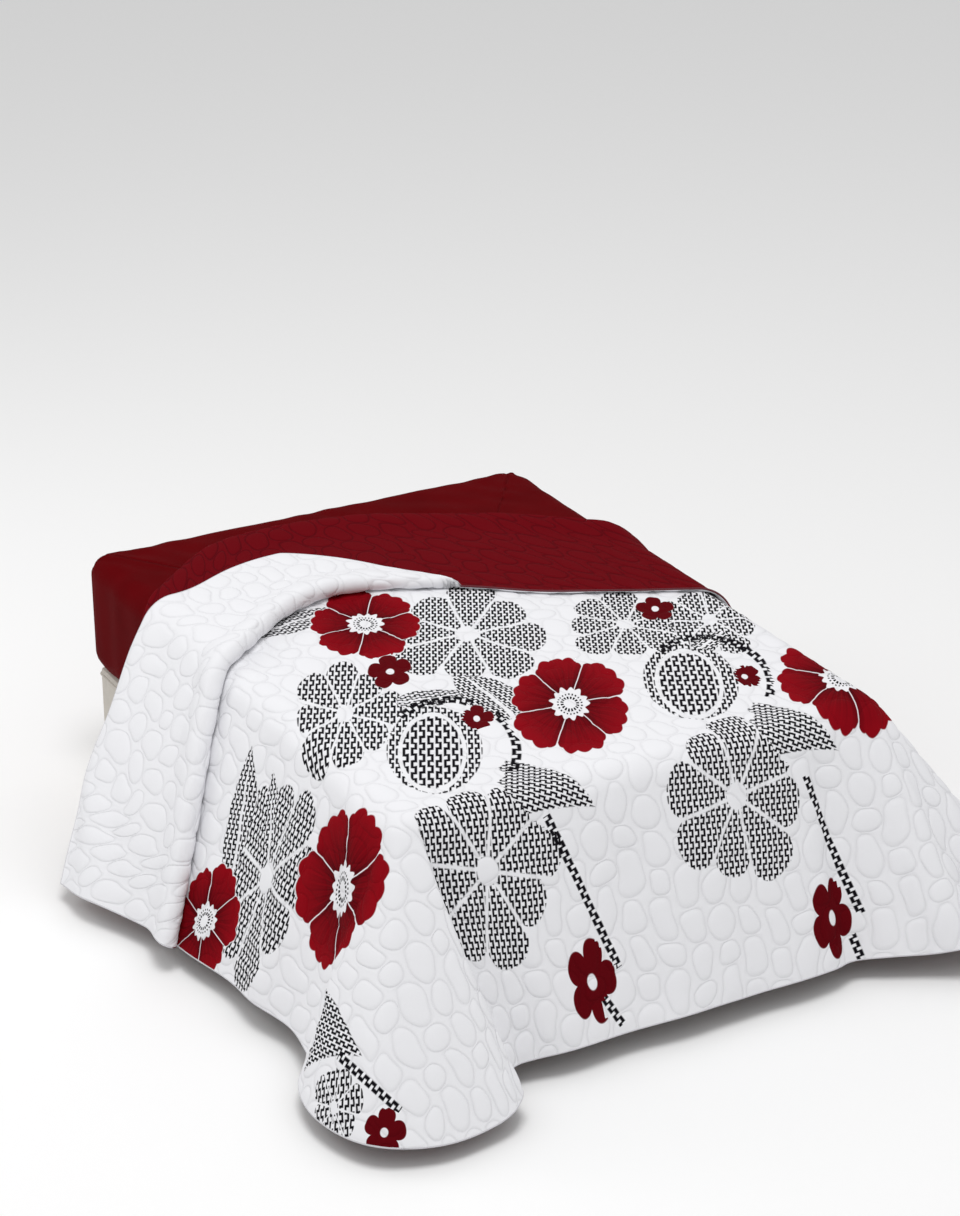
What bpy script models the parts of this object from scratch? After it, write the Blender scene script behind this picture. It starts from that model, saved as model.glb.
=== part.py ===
"""Pebble-quilted bed quilt, turned down at the head and hanging over a plain bed.

Frame: metres, +Z up, floor at Z = 0, the bed's middle at X = Y = 0.
The head end is at +Y, the foot at -Y, and the side with the turned-back band at -X.
"""
import bpy
import bmesh
import numpy as np

# Bed sizes
MATTRESS_WIDTH = 1.40
MATTRESS_LENGTH = 1.90
MATTRESS_THICKNESS = 0.35
MATTRESS_EDGE_RADIUS = 0.06
MATTRESS_EDGE_STEPS = 4
BASE_HEIGHT = 0.30
BASE_INSET = 0.02
BASE_EDGE_RADIUS = 0.012
BASE_EDGE_STEPS = 2
TOUCHING_GAP = 0.0003

# Quilt sizes
QUILT_THICKNESS = 0.007
QUILT_CLEARANCE = 0.004
QUILT_DROP = 0.70
SWING_START = 0.07
TOP_SWELL = 0.004
TOP_SWELL_PITCH = (0.46, 0.57)

# The turned-down end: radius of each soft fold, and how far one layer lies over the next
HEAD_FOLD_RADIUS = 0.013
BACK_ROLL_RADIUS = 0.022
TIP_ROLL_RADIUS = 0.010
LAYER_PITCH = 0.011
FOLD_SETTLE = 0.13
OVERHANG_SETTLE = 0.10
RIDING_GAP = 0.003

# Heights and edges that follow from the sizes
MATTRESS_BOTTOM = BASE_HEIGHT + TOUCHING_GAP
MATTRESS_TOP = MATTRESS_BOTTOM + MATTRESS_THICKNESS
QUILT_LIFT = QUILT_CLEARANCE + QUILT_THICKNESS / 2
EDGE_RADIUS = MATTRESS_EDGE_RADIUS + QUILT_LIFT
SIDE_EDGE = MATTRESS_WIDTH / 2 - MATTRESS_EDGE_RADIUS
FOOT_EDGE = MATTRESS_LENGTH / 2 - MATTRESS_EDGE_RADIUS
QUILT_TOP = MATTRESS_TOP + QUILT_LIFT
QUARTER_TURN = np.pi / 2

# Side drops. along = place along the bed; reach = how far the hem stands out from where
# the cloth leaves the flat top; length = cloth from there to the hem.
SIDE_DROP = np.array([
    # along  left_reach  left_length  right_reach  right_length
    (-0.89, 0.240, 0.660, 0.240, 0.680),
    (-0.74, 0.215, 0.660, 0.225, 0.670),
    (-0.60, 0.250, 0.665, 0.205, 0.670),
    (-0.46, 0.255, 0.675, 0.235, 0.670),
    (-0.30, 0.290, 0.690, 0.250, 0.670),
    (-0.12, 0.315, 0.705, 0.225, 0.675),
    (0.02, 0.370, 0.730, 0.235, 0.680),
    (0.16, 0.410, 0.760, 0.265, 0.690),
    (0.40, 0.425, 0.780, 0.255, 0.700),
    (0.85, 0.400, 0.780, 0.240, 0.700),
])

# Foot drop. across = place across the bed; lean = how far the hem swings towards +X;
# reach and length as on the sides.
FOOT_DROP = np.array([
    # across  lean  reach  length
    (-0.640, 0.120, 0.275, 0.690),
    (-0.600, 0.100, 0.232, 0.680),
    (-0.540, 0.065, 0.212, 0.670),
    (-0.460, 0.030, 0.216, 0.665),
    (-0.340, 0.005, 0.234, 0.665),
    (-0.180, 0.000, 0.226, 0.665),
    (-0.020, 0.000, 0.240, 0.665),
    (0.160, 0.000, 0.228, 0.665),
    (0.320, 0.000, 0.238, 0.665),
    (0.440, 0.000, 0.226, 0.665),
    (0.500, 0.000, 0.212, 0.665),
    (0.570, 0.000, 0.250, 0.670),
    (0.640, 0.000, 0.290, 0.680),
])

# Foot corners. share = part of the corner's quarter turn of cloth, from the side drop to
# the foot drop; side_reach and foot_reach = where its hem stands; length = cloth to the hem.
LEFT_CORNER = np.array([
    # share  side_reach  foot_reach  length
    (0.00, 0.240, 0.000, 0.660),
    (0.12, 0.310, 0.065, 0.705),
    (0.28, 0.345, 0.220, 0.750),
    (0.42, 0.300, 0.365, 0.780),
    (0.57, 0.165, 0.430, 0.780),
    (0.72, 0.025, 0.420, 0.760),
    (0.86, -0.080, 0.385, 0.735),
    (0.95, -0.125, 0.330, 0.710),
    (1.00, -0.120, 0.275, 0.690),
])
RIGHT_CORNER = np.array([
    # share  side_reach  foot_reach  length
    (0.00, 0.240, 0.000, 0.680),
    (0.15, 0.335, 0.070, 0.710),
    (0.30, 0.390, 0.190, 0.740),
    (0.45, 0.385, 0.310, 0.755),
    (0.60, 0.300, 0.380, 0.755),
    (0.73, 0.195, 0.355, 0.730),
    (0.87, 0.110, 0.365, 0.700),
    (1.00, 0.000, 0.290, 0.680),
])

# Turned-down end. across = place across the quilt; head_fold = line where the quilt folds
# over to show its reverse; roll = line where the flap is turned back up the bed;
# back_length = cloth past that line.
TURN_DOWN = np.array([
    # across  head_fold  roll  back_length
    (-1.34, 0.110, -0.260, 0.530),
    (-1.24, 0.180, -0.225, 0.555),
    (-1.11, 0.315, -0.175, 0.575),
    (-0.94, 0.375, -0.110, 0.555),
    (-0.82, 0.425, -0.055, 0.540),
    (-0.72, 0.485, -0.010, 0.510),
    (-0.59, 0.605, 0.090, 0.450),
    (-0.42, 0.740, 0.220, 0.400),
    (-0.27, 0.785, 0.280, 0.370),
    (-0.15, 0.790, 0.275, 0.370),
    (0.05, 0.750, 0.190, 0.000),
    (0.28, 0.645, 0.030, 0.000),
    (0.45, 0.545, -0.060, 0.000),
    (0.60, 0.425, -0.130, 0.000),
    (0.72, 0.310, -0.190, 0.000),
    (0.84, 0.220, -0.240, 0.000),
    (1.00, 0.140, -0.300, 0.000),
    (1.34, 0.000, -0.390, 0.000),
])
BACK_END_START = -0.26
BACK_END_TIP = 0.08
BACK_END_ROUNDNESS = 1.15

# Grid of the quilt's solid: cells in each stretch, across and along
DROP_CELLS = 8
EDGE_CELLS = 4
TIP_START = BACK_END_TIP - 0.05
TIP_END = BACK_END_TIP + 0.02
TOP_CELLS_LEFT = 12
TIP_CELLS = 7
TOP_CELLS_RIGHT = 9
TOP_CELLS_ALONG = 13
HEAD_FOLD_CELLS = 6
FLAP_CELLS = 8
BACK_ROLL_CELLS = 6
BACK_CELLS = 7


def smooth_through(places, values, at):
    """Cubic through a table's rows, with each row's slope taken from its neighbours."""
    step = np.diff(places)
    rise = np.diff(values) / step
    slope = np.empty_like(values)
    slope[0] = rise[0]
    slope[-1] = rise[-1]
    slope[1:-1] = (rise[:-1] * step[1:] + rise[1:] * step[:-1]) / (step[1:] + step[:-1])
    at = np.clip(at, places[0], places[-1])
    row = np.clip(np.searchsorted(places, at) - 1, 0, len(step) - 1)
    width = step[row]
    t = (at - places[row]) / width
    start = (1 + 2 * t) * (1 - t) ** 2 * values[row]
    end = t * t * (3 - 2 * t) * values[row + 1]
    leave = t * (1 - t) ** 2 * width * slope[row]
    arrive = t * t * (t - 1) * width * slope[row + 1]
    return start + end + leave + arrive


def ease(t):
    """Smooth step from 0 to 1."""
    t = np.clip(t, 0.0, 1.0)
    return t * t * (3 - 2 * t)


def table_value(table, column, at):
    """One named column of a table, read at the given places."""
    return smooth_through(table[:, 0], table[:, column], at)


def hem_length(across, along, share):
    """Cloth from where the flat top ends to the hem, for any place past that edge."""
    left = across < 0
    side = np.where(left, table_value(SIDE_DROP, 2, along), table_value(SIDE_DROP, 4, along))
    foot = table_value(FOOT_DROP, 3, across)
    corner = np.where(left,
                      table_value(LEFT_CORNER, 3, share), table_value(RIGHT_CORNER, 3, share))
    past_side = np.abs(across) > SIDE_EDGE
    past_foot = along < -FOOT_EDGE
    return np.where(past_side & past_foot, corner, np.where(past_side, side, foot))


def drop_direction(across, along, share):
    """Lean of each metre of hanging cloth: to its own side, to the foot, and inward."""
    left = across < 0
    side = np.where(left, table_value(SIDE_DROP, 1, along), table_value(SIDE_DROP, 3, along))
    lean = table_value(FOOT_DROP, 1, across)
    foot = table_value(FOOT_DROP, 2, across)
    corner_side = np.where(left,
                           table_value(LEFT_CORNER, 1, share), table_value(RIGHT_CORNER, 1, share))
    corner_foot = np.where(left,
                           table_value(LEFT_CORNER, 2, share), table_value(RIGHT_CORNER, 2, share))
    length = hem_length(across, along, share)
    in_corner = (np.abs(across) > SIDE_EDGE) & (along < -FOOT_EDGE)
    on_side = (np.abs(across) > SIDE_EDGE) & ~in_corner
    sideways = np.where(on_side, side, np.maximum(corner_side, 0.0) * in_corner) / length
    footward = np.where(on_side, 0.0, np.where(in_corner, corner_foot, foot)) / length
    inward = np.where(in_corner, np.maximum(-corner_side, 0.0), lean) / length
    inward = np.where(on_side, 0.0, inward)
    return sideways, footward, inward


def drape(across, along):
    """Middle of the cloth for a place on the flat quilt.

    Flat on the mattress; past its edge the cloth goes round the edge radius and then runs
    straight down and out, in the direction that the tables give. In the corners the
    direction turns with the angle round the corner, as on a cone. Cloth that swings inward
    along the foot does so from a little below the edge.
    """
    past_side = np.maximum(np.abs(across) - SIDE_EDGE, 0.0)
    past_foot = np.maximum(-along - FOOT_EDGE, 0.0)
    hanging = np.hypot(past_side, past_foot)
    share = np.arctan2(past_foot, past_side) / QUARTER_TURN
    sideways, footward, inward = drop_direction(across, along, share)
    outward = np.hypot(sideways, footward)
    flare = np.arcsin(outward)
    bend = np.minimum(hanging / EDGE_RADIUS, QUARTER_TURN - flare)
    straight = hanging - EDGE_RADIUS * bend
    out = EDGE_RADIUS * np.sin(bend) + straight * outward
    down = EDGE_RADIUS * (1 - np.cos(bend))
    down = down + straight * np.sqrt(1 - outward ** 2 - inward ** 2)
    swing = inward * (straight - SWING_START * (1 - np.exp(-straight / SWING_START)))
    swell = np.sin(across * 2 * np.pi / TOP_SWELL_PITCH[0] + 0.7)
    swell = swell * np.sin(along * 2 * np.pi / TOP_SWELL_PITCH[1] + 0.4) + 1.0
    inside = ease((SIDE_EDGE - np.abs(across)) / 0.3) * ease((along + FOOT_EDGE) / 0.3)
    place = np.empty(np.shape(across) + (3,))
    beside = np.clip(across, -SIDE_EDGE, SIDE_EDGE)
    place[..., 0] = beside + np.sign(across) * out * sideways / outward + swing
    place[..., 1] = np.maximum(along, -FOOT_EDGE) - out * footward / outward
    place[..., 2] = QUILT_TOP - down + TOP_SWELL / 2 * swell * inside
    return place


def drape_normal(across, along, reach=0.002):
    """Outward unit normal of the drape, from places a little to each side."""
    run = drape(across + reach, along) - drape(across - reach, along)
    rise = drape(across, along + reach) - drape(across, along - reach)
    normal = np.cross(run, rise)
    return normal / np.linalg.norm(normal, axis=-1, keepdims=True)


def turn_down_lines(across):
    """Head fold, roll line, cloth past the roll and radius of the roll, at each place."""
    head_fold = table_value(TURN_DOWN, 1, across)
    roll = table_value(TURN_DOWN, 2, across)
    back = table_value(TURN_DOWN, 3, np.minimum(across, BACK_END_START))
    toward_tip = (across - BACK_END_START) / (BACK_END_TIP - BACK_END_START)
    toward_tip = np.clip(toward_tip, 0.0, 1.0)
    rounded = (1 - toward_tip ** BACK_END_ROUNDNESS) ** (1 / BACK_END_ROUNDNESS)
    radius = BACK_ROLL_RADIUS + (TIP_ROLL_RADIUS - BACK_ROLL_RADIUS) * toward_tip
    return head_fold, roll, back * rounded, radius


def end_path(travel, head_fold, roll, roll_radius):
    """Place along the bed and height over the lowest layer, for cloth travelled from Y = 0.

    The cloth runs to the head fold, goes over it in a half circle, comes back down the bed
    to the roll, goes over that in a half circle and runs up the bed again. After each half
    circle it settles on the layer below it, and the turned-back cloth rides over the bulge
    of the head fold.
    """
    head_centre = head_fold - HEAD_FOLD_RADIUS
    roll_centre = roll + roll_radius
    head_arc = np.pi * HEAD_FOLD_RADIUS
    roll_arc = np.pi * roll_radius
    past_head = np.clip(travel - head_centre, 0.0, head_arc)
    flap_run = np.clip(travel - head_centre - head_arc, 0.0, head_centre - roll_centre)
    flap_end = head_centre + head_arc + (head_centre - roll_centre)
    past_roll = np.clip(travel - flap_end, 0.0, roll_arc)
    back_run = np.maximum(travel - flap_end - roll_arc, 0.0)
    along = np.minimum(travel, head_centre)
    along = along + HEAD_FOLD_RADIUS * np.sin(past_head / HEAD_FOLD_RADIUS) - flap_run
    along = along - roll_radius * np.sin(past_roll / roll_radius) + back_run
    bulge = 2 * HEAD_FOLD_RADIUS - LAYER_PITCH
    height = HEAD_FOLD_RADIUS * (1 - np.cos(past_head / HEAD_FOLD_RADIUS))
    height = height - bulge * ease(flap_run / FOLD_SETTLE)
    height = height + roll_radius * (1 - np.cos(past_roll / roll_radius))
    height = height - (2 * roll_radius - LAYER_PITCH) * ease(back_run / FOLD_SETTLE)
    over = 1 - ease((head_centre - along) / FOLD_SETTLE)
    over = over * (1 - ease((along - head_centre) / OVERHANG_SETTLE))
    return along, height + (bulge + RIDING_GAP) * over * (back_run > 0)


def stretch(start, end, cells):
    """Evenly spaced places from start up to, but without, end."""
    return start + (end - start) * np.arange(cells) / cells


def places_across():
    """Grid places across the flat quilt, hem to hem, closer together at the bed's edges and
    where the turned-back end runs out."""
    bend_end = SIDE_EDGE + EDGE_RADIUS * 1.3
    hem = SIDE_EDGE + QUILT_DROP
    return np.concatenate([
        stretch(-hem, -bend_end, DROP_CELLS),
        stretch(-bend_end, -SIDE_EDGE, EDGE_CELLS),
        stretch(-SIDE_EDGE, TIP_START, TOP_CELLS_LEFT),
        stretch(TIP_START, TIP_END, TIP_CELLS),
        stretch(TIP_END, SIDE_EDGE, TOP_CELLS_RIGHT),
        stretch(SIDE_EDGE, bend_end, EDGE_CELLS),
        stretch(bend_end, hem, DROP_CELLS),
        [hem],
    ])


def rows_along(across):
    """Cloth travelled at each row of the grid, for every place across (rows, columns)."""
    head_fold, roll, back, roll_radius = turn_down_lines(across)
    hem = -FOOT_EDGE - QUILT_DROP
    bend_end = -FOOT_EDGE - EDGE_RADIUS * 1.3
    head_start = head_fold - HEAD_FOLD_RADIUS
    head_end = head_start + np.pi * HEAD_FOLD_RADIUS
    roll_start = head_end + (head_start - roll - roll_radius)
    flat_end = roll_start + roll_radius
    turned = ease(back / (2 * np.pi * roll_radius))
    end = flat_end + (roll_start - flat_end) * turned + back
    flap_knot = turned * roll_start + (1 - turned) * (head_end + 0.45 * (end - head_end))
    roll_end = roll_start + np.pi * roll_radius
    roll_knot = turned * roll_end + (1 - turned) * (head_end + 0.75 * (end - head_end))
    roll_knot = np.minimum(roll_knot, flap_knot + 0.7 * (end - flap_knot))
    one = np.ones_like(across)
    knots = [hem * one, bend_end * one, -FOOT_EDGE * one, head_start, head_end,
             flap_knot, roll_knot, end]
    cells = [DROP_CELLS, EDGE_CELLS, TOP_CELLS_ALONG, HEAD_FOLD_CELLS,
             FLAP_CELLS, BACK_ROLL_CELLS, BACK_CELLS]
    rows = []
    for start, stop, count in zip(knots[:-1], knots[1:], cells):
        for step in range(count):
            rows.append(start + (stop - start) * step / count)
    rows.append(end)
    return np.array(rows)


def cut_outline(across, along):
    """Places on the quilt as it is cut: its hem drawn to the tables' lengths, and its
    square foot corners brought in to their rounded outline."""
    x = np.clip((np.abs(across) - SIDE_EDGE) / QUILT_DROP, 0.0, 1.0)
    y = np.clip((-along - FOOT_EDGE) / QUILT_DROP, 0.0, 1.0)
    disc_x = x * np.sqrt(1 - y * y / 2)
    disc_y = y * np.sqrt(1 - x * x / 2)
    share = np.arctan2(disc_y, disc_x) / QUARTER_TURN
    hanging = np.hypot(disc_x, disc_y)
    grow = QUILT_DROP + (hem_length(across, along, share) - QUILT_DROP) * hanging
    new_across = np.sign(across) * (SIDE_EDGE + disc_x * grow)
    new_along = -FOOT_EDGE - disc_y * grow
    return np.where(x > 0, new_across, across), np.where(y > 0, new_along, along)


def quilt_middle():
    """Grid of points through the middle of the draped and turned-down quilt."""
    columns = places_across()
    travel = rows_along(columns)
    across = np.broadcast_to(columns, travel.shape)
    head_fold, roll, _, roll_radius = turn_down_lines(across)
    along, height = end_path(travel, head_fold, roll, roll_radius)
    across, along = cut_outline(across, along)
    return drape(across, along) + height[..., None] * drape_normal(across, along)


def grid_normals(points):
    """Unit normals of a grid of points, from its neighbours."""
    run = np.gradient(points, axis=1)
    rise = np.gradient(points, axis=0)
    normal = np.cross(run, rise)
    return normal / np.linalg.norm(normal, axis=-1, keepdims=True)


def sheet_solid(middle, thickness):
    """Closed sheet: the grid pushed half a thickness each way, with its rim bridged."""
    rows, columns = middle.shape[:2]
    offset = grid_normals(middle) * thickness / 2
    points = np.concatenate([(middle + offset).reshape(-1, 3), (middle - offset).reshape(-1, 3)])
    index = np.arange(rows * columns).reshape(rows, columns)
    quad = np.stack([index[:-1, :-1], index[:-1, 1:], index[1:, 1:], index[1:, :-1]], axis=-1)
    quad = quad.reshape(-1, 4)
    under = quad[:, ::-1] + rows * columns
    rim = np.concatenate([index[0, :-1], index[:-1, -1], index[-1, :0:-1], index[:0:-1, 0]])
    ahead = np.roll(rim, -1)
    wall = np.stack([rim, rim + rows * columns, ahead + rows * columns, ahead], axis=-1)
    return points, np.concatenate([quad, under, wall])


def plain_material(name, colour, roughness):
    """Principled material of one colour."""
    material = bpy.data.materials.new(name)
    material.use_nodes = True
    shader = material.node_tree.nodes["Principled BSDF"]
    shader.inputs["Base Color"].default_value = (*colour, 1.0)
    shader.inputs["Roughness"].default_value = roughness
    shader.inputs["Metallic"].default_value = 0.0
    return material


def add_object(name, mesh, material):
    """Put a finished mesh into the scene as one named object."""
    mesh.materials.append(material)
    mesh.shade_smooth()
    mesh.set_sharp_from_angle(angle=np.radians(40))
    piece = bpy.data.objects.new(name, mesh)
    bpy.context.scene.collection.objects.link(piece)
    return piece


def rounded_box(name, size, bottom, radius, steps):
    """Mesh of a box with every edge rounded, standing at the given height."""
    mesh = bpy.data.meshes.new(name)
    shape = bmesh.new()
    bmesh.ops.create_cube(shape, size=1.0)
    bmesh.ops.scale(shape, vec=size, verts=shape.verts)
    bmesh.ops.translate(shape, vec=(0.0, 0.0, bottom + size[2] / 2), verts=shape.verts)
    bmesh.ops.bevel(shape, geom=shape.edges[:], offset=radius, segments=steps,
                    profile=0.5, affect='EDGES', clamp_overlap=True)
    bmesh.ops.triangulate(shape, faces=shape.faces[:])
    shape.to_mesh(mesh)
    shape.free()
    return mesh


def build_quilt():
    """The quilt: one closed sheet from its foot hem to its turned-back head hem."""
    points, faces = sheet_solid(quilt_middle(), QUILT_THICKNESS)
    mesh = bpy.data.meshes.new("quilt")
    mesh.from_pydata(points.tolist(), [], faces.tolist())
    shape = bmesh.new()
    shape.from_mesh(mesh)
    bmesh.ops.triangulate(shape, faces=shape.faces[:])
    shape.to_mesh(mesh)
    shape.free()
    add_object("quilt", mesh, plain_material("quilted_cotton", (0.86, 0.85, 0.85), 0.85))


def build_mattress():
    """The mattress in its dark red fitted sheet."""
    size = (MATTRESS_WIDTH, MATTRESS_LENGTH, MATTRESS_THICKNESS)
    mesh = rounded_box("mattress", size, MATTRESS_BOTTOM, MATTRESS_EDGE_RADIUS,
                       MATTRESS_EDGE_STEPS)
    add_object("mattress", mesh, plain_material("red_sheeting", (0.16, 0.005, 0.008), 0.8))


def build_base():
    """The plain bed base that stands on the floor under the mattress."""
    size = (MATTRESS_WIDTH - 2 * BASE_INSET, MATTRESS_LENGTH - 2 * BASE_INSET, BASE_HEIGHT)
    mesh = rounded_box("bed_base", size, 0.0, BASE_EDGE_RADIUS, BASE_EDGE_STEPS)
    add_object("bed_base", mesh, plain_material("base_cloth", (0.55, 0.53, 0.50), 0.9))


def main():
    """Clear the scene and build the bed and its quilt."""
    for old in list(bpy.data.objects):
        bpy.data.objects.remove(old, do_unlink=True)
    build_base()
    build_mattress()
    build_quilt()


main()
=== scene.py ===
"""Bed quilt with pebble quilting and a printed flower pattern, draped over a mattress.

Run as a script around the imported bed: it dresses the quilt, the mattress and the base.
"""
import ast

import bpy
import numpy as np
from bpy.props import FloatProperty, FloatVectorProperty, PointerProperty
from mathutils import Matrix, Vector


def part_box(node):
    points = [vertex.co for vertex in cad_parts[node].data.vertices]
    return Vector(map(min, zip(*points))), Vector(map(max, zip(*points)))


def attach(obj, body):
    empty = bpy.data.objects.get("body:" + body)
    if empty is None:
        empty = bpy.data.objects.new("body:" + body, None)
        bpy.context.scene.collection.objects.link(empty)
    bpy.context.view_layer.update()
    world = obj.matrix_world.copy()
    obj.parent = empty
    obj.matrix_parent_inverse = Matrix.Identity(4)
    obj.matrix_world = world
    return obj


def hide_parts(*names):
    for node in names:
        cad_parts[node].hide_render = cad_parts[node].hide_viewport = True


bl_info = {
    "name": "Draped bed quilt",
    "version": (1, 0, 0),
    "blender": (4, 5, 0),
    "location": "View3D > Sidebar > Bed",
    "description": "Builds a pebble-quilted printed quilt over a mattress and a plain base",
    "category": "Object",
}

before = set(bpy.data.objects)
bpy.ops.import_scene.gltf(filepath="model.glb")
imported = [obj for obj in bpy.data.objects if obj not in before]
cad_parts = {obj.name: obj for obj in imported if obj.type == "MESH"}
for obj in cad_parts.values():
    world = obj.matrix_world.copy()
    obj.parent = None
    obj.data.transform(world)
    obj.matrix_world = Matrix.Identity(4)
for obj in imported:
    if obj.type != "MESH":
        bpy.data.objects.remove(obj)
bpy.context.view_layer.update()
MATTRESS_LOW, MATTRESS_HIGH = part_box("mattress")
BASE_LOW, BASE_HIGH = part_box("bed_base")

# Bed and drape sizes, in metres, as the solids have them
MATTRESS_EDGE_RADIUS = 0.06
QUILT_LIFT = 0.0075
QUILT_DROP = 0.70
SWING_START = 0.07
TOP_SWELL = 0.004
TOP_SWELL_PITCH = (0.46, 0.57)
HEAD_FOLD_RADIUS = 0.013
BACK_ROLL_RADIUS = 0.022
TIP_ROLL_RADIUS = 0.010
LAYER_PITCH = 0.011
FOLD_SETTLE = 0.13
OVERHANG_SETTLE = 0.10
RIDING_GAP = 0.003
EDGE_RADIUS = MATTRESS_EDGE_RADIUS + QUILT_LIFT
SIDE_EDGE = MATTRESS_HIGH[0] - MATTRESS_EDGE_RADIUS
FOOT_EDGE = MATTRESS_HIGH[1] - MATTRESS_EDGE_RADIUS
QUILT_TOP = MATTRESS_HIGH[2] + QUILT_LIFT
QUARTER_TURN = np.pi / 2
FULL_TURN = 2 * np.pi
# The quilt's cut isn't a rectangle, because its foot corners are rounded and its head end slants.
# The base: radius of its edge, and how far below its top the piping runs.
BASE_EDGE_RADIUS = 0.012
PIPING_BELOW_TOP = 0.020

# The photo's size in pixels, and its camera, as fitted to the bed's visible corners
PHOTO_SIZE = (960, 1216)
CAMERA_PLACE = (-3.558, -6.474, 3.986)
CAMERA_AIM = (0.44, 0.71, 0.325)
CAMERA_LENS = 90.06
CAMERA_SENSOR = 36.0

# Places tried when a photo point is looked up on the flat cloth: how far towards the head,
# the step between them, how many pixels off the point one may show, and how many metres
# farther away each pixel off makes a place count
SEEN_HEAD_END = 0.80
SEEN_STEP = 0.005
SEEN_WITHIN = 3.0
SEEN_PER_PIXEL = 0.02

# Rings of the fitted sheet along its underside, lower edge, side and top, and points round
SHEET_RINGS = (12, 8, 22, 70)
SHEET_AROUND = 400
PIPING_AROUND = 320

# Fine relief of the quilt's cloths: its share of a full bump, and its height in metres
QUILT_BUMP = (0.5, 0.0040)

# Cells of the cloth's grids in each stretch: drop, edge and top across; drop, edge, top,
# head fold, flap, roll and turned-back cloth along
FACE_COLUMNS = (66, 12, 140)
FACE_ROWS = (66, 12, 140, 14, 44, 14, 44)
REVERSE_COLUMNS = (48, 10, 106)
REVERSE_ROWS = (48, 10, 104, 14, 34, 14, 34)
TUBE_SIDES = 8

# A face this many half-sizes from a motif's middle is beyond the motif. An arc counts as
# farther off than it is, so that it gives way to a flower that lies on it.
MOTIF_REACH = 1.22
ARC_GIVES_WAY = 0.2

# Spacing of the thread print's columns and rows on the cloth
THREAD_COLUMN = 0.0160
THREAD_ROW = 0.0125

# Side drops. along = place along the bed; reach = how far the hem stands out from where
# the cloth leaves the flat top; length = cloth from there to the hem.
SIDE_DROP = np.array([
    # along  left_reach  left_length  right_reach  right_length
    (-0.89, 0.240, 0.660, 0.240, 0.680),
    (-0.74, 0.215, 0.660, 0.225, 0.670),
    (-0.60, 0.250, 0.665, 0.205, 0.670),
    (-0.46, 0.255, 0.675, 0.235, 0.670),
    (-0.30, 0.290, 0.690, 0.250, 0.670),
    (-0.12, 0.315, 0.705, 0.225, 0.675),
    (0.02, 0.370, 0.730, 0.235, 0.680),
    (0.16, 0.410, 0.760, 0.265, 0.690),
    (0.40, 0.425, 0.780, 0.255, 0.700),
    (0.85, 0.400, 0.780, 0.240, 0.700),
])

# Foot drop. across = place across the bed; lean = how far the hem swings towards +X;
# reach and length as on the sides.
FOOT_DROP = np.array([
    # across  lean  reach  length
    (-0.640, 0.120, 0.275, 0.690),
    (-0.600, 0.100, 0.232, 0.680),
    (-0.540, 0.065, 0.212, 0.670),
    (-0.460, 0.030, 0.216, 0.665),
    (-0.340, 0.005, 0.234, 0.665),
    (-0.180, 0.000, 0.226, 0.665),
    (-0.020, 0.000, 0.240, 0.665),
    (0.160, 0.000, 0.228, 0.665),
    (0.320, 0.000, 0.238, 0.665),
    (0.440, 0.000, 0.226, 0.665),
    (0.500, 0.000, 0.212, 0.665),
    (0.570, 0.000, 0.250, 0.670),
    (0.640, 0.000, 0.290, 0.680),
])

# Foot corners. share = part of the corner's quarter turn of cloth, from the side drop to
# the foot drop; side_reach and foot_reach = where its hem stands; length = cloth to the hem.
LEFT_CORNER = np.array([
    # share  side_reach  foot_reach  length
    (0.00, 0.240, 0.000, 0.660),
    (0.12, 0.310, 0.065, 0.705),
    (0.28, 0.345, 0.220, 0.750),
    (0.42, 0.300, 0.365, 0.780),
    (0.57, 0.165, 0.430, 0.780),
    (0.72, 0.025, 0.420, 0.760),
    (0.86, -0.080, 0.385, 0.735),
    (0.95, -0.125, 0.330, 0.710),
    (1.00, -0.120, 0.275, 0.690),
])
RIGHT_CORNER = np.array([
    # share  side_reach  foot_reach  length
    (0.00, 0.240, 0.000, 0.680),
    (0.15, 0.335, 0.070, 0.710),
    (0.30, 0.390, 0.190, 0.740),
    (0.45, 0.385, 0.310, 0.755),
    (0.60, 0.300, 0.380, 0.755),
    (0.73, 0.195, 0.355, 0.730),
    (0.87, 0.110, 0.365, 0.700),
    (1.00, 0.000, 0.290, 0.680),
])

# Turned-down end. across = place across the quilt; head_fold = line where the quilt folds
# over to show its reverse; roll = line where the flap is turned back up the bed;
# back_length = cloth past that line.
TURN_DOWN = np.array([
    # across  head_fold  roll  back_length
    (-1.34, 0.110, -0.260, 0.530),
    (-1.24, 0.180, -0.225, 0.555),
    (-1.11, 0.315, -0.175, 0.575),
    (-0.94, 0.375, -0.110, 0.555),
    (-0.82, 0.425, -0.055, 0.540),
    (-0.72, 0.485, -0.010, 0.510),
    (-0.59, 0.605, 0.090, 0.450),
    (-0.42, 0.740, 0.220, 0.400),
    (-0.27, 0.785, 0.280, 0.370),
    (-0.15, 0.790, 0.275, 0.370),
    (0.05, 0.750, 0.190, 0.000),
    (0.28, 0.645, 0.030, 0.000),
    (0.45, 0.545, -0.060, 0.000),
    (0.60, 0.425, -0.130, 0.000),
    (0.72, 0.310, -0.190, 0.000),
    (0.84, 0.220, -0.240, 0.000),
    (1.00, 0.140, -0.300, 0.000),
    (1.34, 0.000, -0.390, 0.000),
])
BACK_END_START = -0.26
BACK_END_TIP = 0.08
BACK_END_ROUNDNESS = 1.15
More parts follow.
